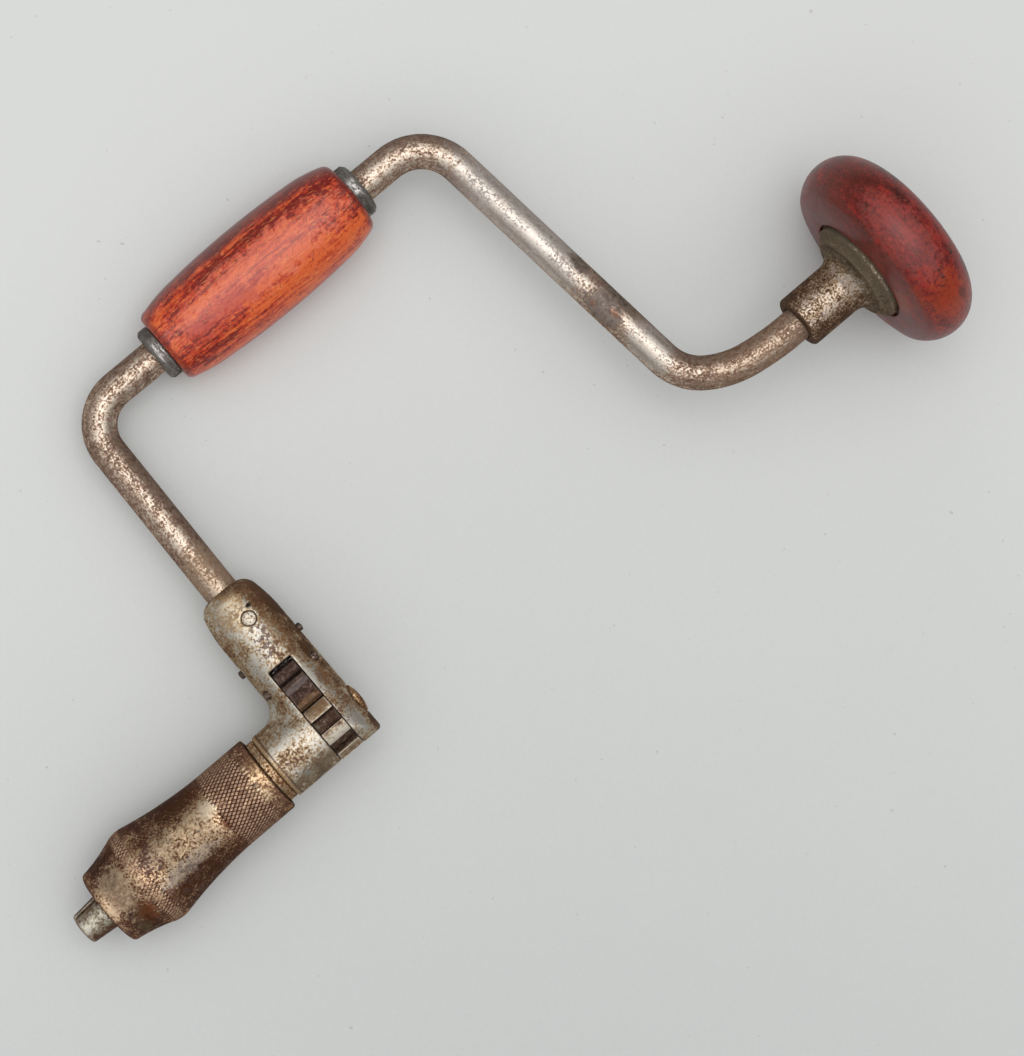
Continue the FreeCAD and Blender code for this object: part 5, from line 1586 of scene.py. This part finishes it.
@dataclass
class Chuck(Assembly):
    """Knurled shell, jaws and spindle."""

    front_x: float = 10.4
    front_radius: float = 12.6
    front_round: float = 1.2
    nose_radius: float = 13.55
    nose_curve: float = 55.0
    ring_foot_x: float = 23.9
    ring_foot_radius: float = 16.75
    ring_end_x: float = 29.6
    ring_end_radius: float = 17.2
    ring_curve: float = 9.5
    waist_x: float = 57.0
    waist_radius: float = 13.85
    waist_curve: float = 150.0
    end_x: float = 76.7
    mouth_radius: float = 8.6
    mouth_depth: float = 2.1
    cone_end_x: float = 20.32
    bore_radius: float = 11.6
    thread_start_x: float = 49.0
    thread_radius: float = 10.65
    thread_end_x: float = 71.0
    counterbore: float = 12.0
    segments: int = 540
    knurl_depth: float = 0.40
    knurl_length: float = 2.30
    knurl_rings: int = 10
    band_fade: float = 0.8
    upper_knurl: tuple[float, float] = (57.8, 71.6)
    upper_around: int = 60
    ring_knurl: tuple[float, float] = (24.4, 28.9)
    ring_around: int = 80
    jaw_voxel: float = 0.26

    def shell_corners(self) -> list[Corner]:
        """Outline of the shell, with close rings under its two knurled bands.

        Returns:
            Corners from the mouth through the bore and back outside.
        """
        fine = self.knurl_length / self.knurl_rings
        inside = 4.0
        start, end = self.upper_knurl
        return [
            Corner(self.front_x, self.mouth_radius + 0.6),
            Corner(self.front_x + 0.6, self.mouth_radius),
            Corner(self.front_x + self.mouth_depth, self.mouth_radius, step=inside),
            Corner(self.cone_end_x, self.bore_radius, step=inside),
            Corner(self.thread_start_x, self.bore_radius),
            Corner(self.thread_start_x, self.thread_radius, step=inside),
            Corner(self.thread_end_x, self.thread_radius),
            Corner(self.thread_end_x, self.counterbore, step=inside),
            Corner(self.end_x, self.counterbore),
            Corner(self.end_x, self.waist_radius - 0.4),
            Corner(self.end_x - 0.4, self.waist_radius),
            Corner(end, self.waist_radius, step=fine),
            Corner(start, self.waist_radius, step=fine),
            Corner(self.waist_x, self.waist_radius, -self.waist_curve, 1.6),
            Corner(self.ring_end_x, self.ring_end_radius, self.ring_curve, fine),
            Corner(self.ring_foot_x, self.ring_foot_radius, -self.nose_curve),
            Corner(self.front_x + self.front_round, self.nose_radius, self.front_round),
            Corner(self.front_x, self.front_radius),
        ]

    def knurl_tree(self) -> GeometryTree:
        """Tree that cuts crossed grooves into a turned surface, worn away in places.

        Returns:
            The finished tree.
        """
        tree = GeometryTree("knurled_band", {
            "Start": 0.0, "End": 0.01, "Pitch": 0.002, "Around": 60.0, "Least Radius": 0.01,
            "Depth": 0.0003, "Least Depth": 0.2, "Fade": 0.001, "Land": 0.3,
            "Second Land": 0.5, "Wear Size": 0.01, "Seed": 0.0, "Bare Turn": 0.0,
            "Bare Width": 0.01})
        given = tree.given
        place = tree.node("GeometryNodeInputPosition")["Position"]
        parts = tree.node("ShaderNodeSeparateXYZ", {"Vector": place})
        x, y, z = (parts[axis] for axis in "XYZ")
        angle = tree.math("ARCTAN2", y, z) / (2 * math.pi)
        round_share = angle * given["Around"]
        along = (x - given["Start"]) / given["Pitch"]
        first, second = (1.0 - abs(tree.math("FRACT", share) - 0.5) * 2.0
                         for share in (round_share + along, round_share - along))
        height = tree.math("MINIMUM", first / given["Land"], second / given["Second Land"])
        groove = 1.0 - tree.math("MINIMUM", height, 1.0)
        rise = tree.remap(x, given["Start"] - given["Fade"], given["Start"])
        fall = tree.remap(x, given["End"], given["End"] + given["Fade"], 1.0, 0.0)
        radius = tree.math("SQRT", y * y + z * z)
        outside = tree.math("GREATER_THAN", radius, given["Least Radius"])
        seed = tree.node("ShaderNodeCombineXYZ", {"X": given["Seed"]})[0]
        clouds = tree.noise(place + seed, given["Wear Size"], 3.0, 0.6)
        wear = tree.remap(clouds, 0.36, 0.56, given["Least Depth"], 1.0)
        bare = tree.remap(abs(angle - given["Bare Turn"]), given["Bare Width"] * 0.4,
                          given["Bare Width"], given["Least Depth"], 1.0)
        depth = given["Depth"] * groove
        for part in (rise, fall, outside, wear, bare):
            depth *= part
        tree.finish(tree.raised(given["Geometry"], depth * -1.0))
        return tree

    def dull_plain_edges(self, shell: bpy.types.Object) -> None:
        """Keeps the rubbed edges to the knurled bands; their greater strength on top is a
        painted highlight.

        Args:
            shell: The shell with its marks.
        """
        places, _, _ = vertex_arrays(shell.data)
        x = places[:, 0] / MM
        rubbed = np.empty(len(x), dtype=np.float32)
        shell.data.attributes["edge"].data.foreach_get("value", rubbed)
        inside = np.zeros(len(x))
        for start, end in (self.upper_knurl, self.ring_knurl):
            inside = np.maximum(inside, np.clip(np.minimum(x - start, end - x) / self.band_fade,
                                                0, 1))
        # Painted highlight: the rubbed knurl edges grow brighter towards the top.
        upward = np.clip(places[:, 2] / (self.waist_radius * MM), 0, 1)
        mark(shell, "edge", rubbed * (0.1 + 0.9 * inside) * (0.45 + 0.55 * upward))

    def build(self) -> None:
        """Makes the shell with its knurls, and the jaws, and dresses them."""
        shell = turned_mesh("chuck_sleeve", self.shell_corners(), step=1.1,
                            segments=self.segments, ease=0.18)
        roughen(shell, depth=0.03, size=6.0, seed=5.0)
        tree = self.knurl_tree()
        for (start, end), around, least, seed, bare_turn, bare_width in (
                (self.upper_knurl, self.upper_around, 0.35, 0.31, 0.02, 0.02),
                (self.ring_knurl, self.ring_around, 0.06, 0.52, 0.035, 0.10)):
            shell = tree.put_on(shell, {
                "Start": start * MM, "End": end * MM, "Pitch": self.knurl_length * MM,
                "Around": float(around), "Least Radius": (self.counterbore + 0.8) * MM,
                "Depth": self.knurl_depth * MM, "Least Depth": least, "Fade": 0.9 * MM,
                "Land": 0.30, "Second Land": 0.50, "Wear Size": 8.0 * MM, "Seed": seed,
                "Bare Turn": bare_turn, "Bare Width": bare_width,
                "Material": self.finishes.get(Finishes.SHELL)})
        mark_surface(shell, full=0.04)
        self.dull_plain_edges(shell)
        self.put_in(shell, Finishes.SHELL, "chuck_shell", "shell_steel", "chuck_shell")
        for node in ("near_jaw", "far_jaw"):
            self.put_worn(f"{node}_worn", self.jaw_voxel, Finishes.JAW, node, "jaw_steel", node)
        self.refinish(Finishes.SPINDLE, "chuck_spindle")
        self.refinish(Finishes.SPRING, "jaw_spring")


# Sweep grip

@dataclass
class SweepGrip(Assembly):
    """Wooden grip and the two collars beside it."""

    centre_y: float = 127.0
    bar_radius: float = 5.75
    start_x: float = 139.59
    end_x: float = 218.40
    bore_radius: float = 5.83
    end_radius: float = 11.7
    end_curve: float = 3.4
    lower_shoulder: Point = (2.9, 13.45, 60.0)
    lower_swell: Point = (16.5, 15.6, 300.0)
    upper_swell: Point = (65.5, 15.6, 45.0)
    upper_shoulder: Point = (77.0, 13.2, 3.4)
    collar_width: float = 4.2
    collar_radius: float = 9.45
    collar_round: float = 1.2
    lower_collar_x: float = 135.24
    upper_collar_x: float = 218.55

    def grip_corners(self) -> list[Corner]:
        """Outline of the grip from its bore over the swelled outside.

        Returns:
            Corners of the closed outline.
        """
        start = self.start_x
        return [
            Corner(start, self.bore_radius),
            Corner(self.end_x, self.bore_radius),
            Corner(self.end_x, self.end_radius, self.end_curve),
            Corner(start + self.upper_shoulder[0], self.upper_shoulder[1],
                   self.upper_swell[2]),
            Corner(start + self.upper_swell[0], self.upper_swell[1], self.lower_swell[2]),
            Corner(start + self.lower_swell[0], self.lower_swell[1], self.lower_shoulder[2]),
            Corner(start + self.lower_shoulder[0], self.lower_shoulder[1], self.end_curve),
            Corner(start, self.end_radius),
        ]

    def collar(self, name: str, start: float, round_first: bool) -> bpy.types.Object:
        """Ring on the bar, rounded on the side away from the grip.

        Args:
            name: Name of the piece.
            start: Its lower end along X.
            round_first: Whether the lower end is the rounded one.

        Returns:
            The ring.
        """
        end = start + self.collar_width
        inner, outer, curve = self.bar_radius, self.collar_radius, self.collar_round
        if round_first:
            rim = [Corner(end, outer), Corner(start + curve, outer, curve * 4),
                   Corner(start, outer - curve)]
        else:
            rim = [Corner(end, outer - curve, curve * 4), Corner(end - curve, outer),
                   Corner(start, outer)]
        return turned_mesh(name, [Corner(start, inner), Corner(end, inner), *rim],
                           centre_y=self.centre_y, step=0.5, segments=128, ease=0.2)

    def build(self) -> None:
        """Makes the grip and its collars and dresses them."""
        grip = turned_mesh("grip_barrel", self.grip_corners(), centre_y=self.centre_y,
                           step=0.7, segments=176, ease=0.3)
        roughen(grip, depth=0.10, size=9.0, seed=11.0)
        mark_surface(grip, full=0.08)
        self.put_in(grip, Finishes.GRIP, "sweep_grip", "grip_wood", "sweep_grip")
        for name, node, start, first in (
                ("lower_collar_ring", "lower_grip_collar", self.lower_collar_x, True),
                ("upper_collar_ring", "upper_grip_collar", self.upper_collar_x, False)):
            ring = self.collar(name, start, first)
            roughen(ring, depth=0.03, size=2.5, seed=start)
            mark_surface(ring)
            self.put_in(ring, Finishes.COLLAR, "crank_frame", "collar_steel", node)


# Head

@dataclass
class Head(Assembly):
    """Quill, washer, nut and the wooden pad."""

    quill_start_x: float = 303.7
    barrel_radius: float = 9.35
    lip_round: float = 1.3
    mouth_radius: float = 6.1
    counterbore_x: float = 310.35
    journal_bore: float = 4.55
    cavity_x: float = 333.0
    cavity_radius: float = 8.2
    stub_end_x: float = 343.95
    stub_radius: float = 10.5
    flare_x: float = 321.5
    flare_curve: float = 5.6
    flange_x: float = 329.3
    flange_back_x: float = 332.45
    flange_radius: float = 18.3
    flange_round: float = 0.9
    pad_radius: float = 35.75
    upper_rim_curve: float = 12.3
    lower_rim_curve: float = 12.9
    rim_x: float = 342.8
    crease_angle: float = 49.0
    underside_curve: float = 31.6
    face_x: float = 330.95
    end_x: float = 355.9
    dome_curve: float = 330.0
    recess_radius: float = 19.2
    recess_floor_x: float = 332.55

    def quill_corners(self) -> list[Corner]:
        """Outline of the quill, its flange and its stub.

        Returns:
            Corners of the closed outline.
        """
        barrel, flare = self.barrel_radius, self.flare_curve
        return [
            Corner(self.quill_start_x, self.mouth_radius),
            Corner(self.counterbore_x, self.mouth_radius),
            Corner(self.counterbore_x, self.journal_bore),
            Corner(self.cavity_x, self.journal_bore),
            Corner(self.cavity_x, self.cavity_radius),
            Corner(self.stub_end_x, self.cavity_radius),
            Corner(self.stub_end_x, self.stub_radius),
            Corner(self.flange_back_x, self.stub_radius),
            Corner(self.flange_back_x, self.flange_radius),
            Corner(self.flange_x + self.flange_round, self.flange_radius),
            Corner(self.flange_x + 0.5, self.flange_radius - 0.2, -26.0),
            Corner(self.flare_x + flare, barrel + flare, -flare),
            Corner(self.flare_x, barrel),
            Corner(self.quill_start_x + self.lip_round, barrel, self.lip_round),
            Corner(self.quill_start_x, barrel - self.lip_round),
        ]

    def pad_corners(self) -> list[Corner]:
        """Outline of the wooden pad.

        Returns:
            Corners of the closed outline.
        """
        rim_centre = self.pad_radius - self.upper_rim_curve
        sag = self.dome_curve - math.sqrt(self.dome_curve ** 2 - rim_centre ** 2)
        crease_x = self.rim_x - self.lower_rim_curve * sine(self.crease_angle)
        crease_radius = self.pad_radius - self.lower_rim_curve * (1 - cosine(self.crease_angle))
        bore_end_x = self.stub_end_x + 0.3
        return [
            Corner(bore_end_x, 0.0),
            Corner(self.end_x, 0.0, self.dome_curve),
            Corner(self.end_x - sag, rim_centre, self.upper_rim_curve),
            Corner(self.rim_x, self.pad_radius, self.lower_rim_curve),
            Corner(crease_x, crease_radius, self.underside_curve),
            Corner(self.face_x, self.recess_radius),
            Corner(self.recess_floor_x, self.recess_radius),
            Corner(self.recess_floor_x, self.stub_radius),
            Corner(bore_end_x, self.stub_radius),
        ]

    def build(self) -> None:
        """Makes the head's pieces and dresses them."""
        quill = turned_mesh("quill_barrel", self.quill_corners(), step=0.8)
        roughen(quill, depth=0.03, size=4.0, seed=13.0)
        mark_surface(quill)
        self.put_in(quill, Finishes.QUILL, "head", "quill_steel", "head_quill")
        pad = turned_mesh("wooden_head", self.pad_corners(), step=0.9, segments=200, ease=0.4)
        roughen(pad, depth=0.12, size=11.0, seed=17.0)
        mark_surface(pad, full=0.08)
        self.put_in(pad, Finishes.HEAD, "head", "head_wood", "head_pad")
        self.refinish(Finishes.SPRING, "head_thrust_washer")
        self.refinish(Finishes.COLLAR, "head_retaining_nut")


# Studio

@dataclass
class Studio:
    """Camera, lights and the pale table top."""

    camera_place: Point = (120.97, -6.0, 800.0)
    aim: Point = (188.12, 9.42, 0.0)
    picture_up: Point = (0.64442, 0.76157, 0.06877)
    lens: float = 83.99
    sensor: float = 36.0
    floor_point: Point = (27.1, 0.0, -17.46)
    floor_slope: tuple[float, float] = (-0.0572, 0.0766)
    floor_half: float = 2500.0
    # Painted light: the table runs from floor_near at the picture's bottom to floor_far at its
    # top.
    floor_near: Colour = (0.560, 0.573, 0.564)
    floor_far: Colour = (0.680, 0.692, 0.681)
    shade_half: float = 200.0
    shade_wander: float = 90.0
    side_middle: float = 20.0
    side_reach: float = 165.0
    side_share: float = 0.2
    mottle_share: float = 0.35
    speck_share: float = 0.35
    speck_colour: Colour = (0.30, 0.28, 0.24)
    panel_power: float = 5.0
    panel_size: tuple[float, float] = (1100.0, 900.0)
    panel_place: Point = (210.0, 20.0, 1300.0)
    dome_bright: float = 1.05
    dome_dark: float = 0.13
    dome_edge: tuple[float, float] = (78.0, 33.0)
    dome_lean: float = -9.0
    backdrop: Colour = (0.64, 0.65, 0.645)

    def build(self) -> None:
        """Sets the stage."""
        self.add_camera()
        self.add_floor()
        self.add_lights()
        self.add_world()
        bpy.context.scene.view_settings.view_transform = "Standard"

    def add_camera(self) -> None:
        """Camera at the photograph's place."""
        camera = bpy.data.cameras.new("camera")
        camera.lens = self.lens
        camera.sensor_width = self.sensor
        camera.clip_end = 20.0
        holder = placed("camera", camera)
        forward = (Vector(self.aim) - Vector(self.camera_place)).normalized()
        right = forward.cross(Vector(self.picture_up)).normalized()
        up = right.cross(forward)
        turn = Matrix((right, up, -forward)).transposed().to_4x4()
        holder.matrix_world = Matrix.Translation(Vector(self.camera_place) * MM) @ turn
        bpy.context.scene.camera = holder

    def floor_height(self, x: float, y: float) -> float:
        """Height of the table under a place, in millimetres.

        Args:
            x: Place along X, in millimetres.
            y: Place along Y, in millimetres.

        Returns:
            The height.
        """
        slope_x, slope_y = self.floor_slope
        px, py, pz = self.floor_point
        return pz + slope_x * (x - px) + slope_y * (y - py)

    def add_floor(self) -> None:
        """Table top that the brace lies on, with painted light: paler towards the picture's top
        and sides.
        """
        half = self.floor_half
        corners = ((-half, -half), (half, -half), (half, half), (-half, half))
        mesh = bpy.data.meshes.new("table_top")
        mesh.from_pydata([(x * MM, y * MM, self.floor_height(x, y) * MM) for x, y in corners],
                         [], [(0, 1, 2, 3)])
        table = placed("table_top", mesh)
        tree = Surface("table_top")
        place = tree.place
        up = Vector(self.picture_up).normalized()
        right = Vector((0.0, 0.0, -1.0)).cross(up).normalized()
        middle = Vector(self.aim).dot(up)
        drift = (tree.noise(place, 90.0) - 0.5) * self.shade_wander
        reach = tree.node("ShaderNodeMapRange", {
            "Value": tree.math("DOT_PRODUCT", place, up) + drift,
            "From Min": middle - self.shade_half, "From Max": middle + self.shade_half},
            clamp=False)["Result"]
        across = tree.math("DOT_PRODUCT", place - self.aim, right)
        sides = tree.math("POWER", abs((across - self.side_middle) / self.side_reach), 2.0)
        reach += sides * self.side_share
        reach += (tree.noise(place, 1.2, 2.0, 0.6) - 0.5) * self.mottle_share
        specks = tree.remap(tree.noise(place, 2.6, 2.0, 0.55), 0.75, 0.77, 0.0,
                            self.speck_share)
        # Painted light: the table is paler towards the picture's top and sides.
        shades = tree.mix(reach, self.floor_near, self.floor_far)
        mesh.materials.append(tree.finish({
            "Base Color": tree.mix(specks, shades, self.speck_colour), "Roughness": 0.55,
            "Normal": tree.bump(tree.noise(place, 1.6, 2.0, 0.6), 0.15, 0.05),
            "Specular IOR Level": 0.2}))

    def add_lights(self) -> None:
        """Soft panel above, towards the top of the picture."""
        light = bpy.data.lights.new("soft_panel", "AREA")
        light.shape = "RECTANGLE"
        light.size, light.size_y = (side * MM for side in self.panel_size)
        light.energy = self.panel_power
        panel = placed("soft_panel", light)
        panel.location = Vector(self.panel_place) * MM
        towards = Vector(self.aim) * MM - panel.location
        panel.rotation_euler = towards.to_track_quat("-Z", "Y").to_euler()

    def add_world(self) -> None:
        """Bright soft ceiling over a dim room. The camera sees a plain pale backdrop."""
        world = bpy.data.worlds.new("room")
        world.use_nodes = True
        world.node_tree.nodes.clear()
        bpy.context.scene.world = world
        tree = Tree(world.node_tree)
        direction = tree.node("ShaderNodeTexCoord")["Generated"]
        top = Vector(self.picture_up)
        top.z = 0.0
        lean = math.tan(math.radians(self.dome_lean))
        zenith = (Vector((0.0, 0.0, 1.0)) + top.normalized() * lean).normalized()
        dark, bright = (cosine(angle) for angle in self.dome_edge)
        strength = tree.remap(tree.math("DOT_PRODUCT", direction, zenith), dark, bright,
                              self.dome_dark, self.dome_bright)
        room = tree.node("ShaderNodeBackground", {"Color": (1.0, 1.0, 1.0, 1.0),
                                                  "Strength": strength})[0]
        shown = tree.node("ShaderNodeBackground", {"Color": opaque(self.backdrop)})[0]
        seen = tree.node("ShaderNodeLightPath")["Is Camera Ray"]
        mixed = tree.node("ShaderNodeMixShader", {0: seen, 1: room, 2: shown})[0]
        tree.node("ShaderNodeOutputWorld", {"Surface": mixed})


def main() -> None:
    """Builds the sub-assemblies in order, then the studio."""
    logging.basicConfig(level=logging.INFO, format="%(message)s")
    finishes = Finishes()
    for assembly in (CrankBar(finishes), RatchetBox(finishes), Chuck(finishes),
                     SweepGrip(finishes), Head(finishes)):
        assembly.build()
    Studio().build()


if __name__ == "__main__":
    main()
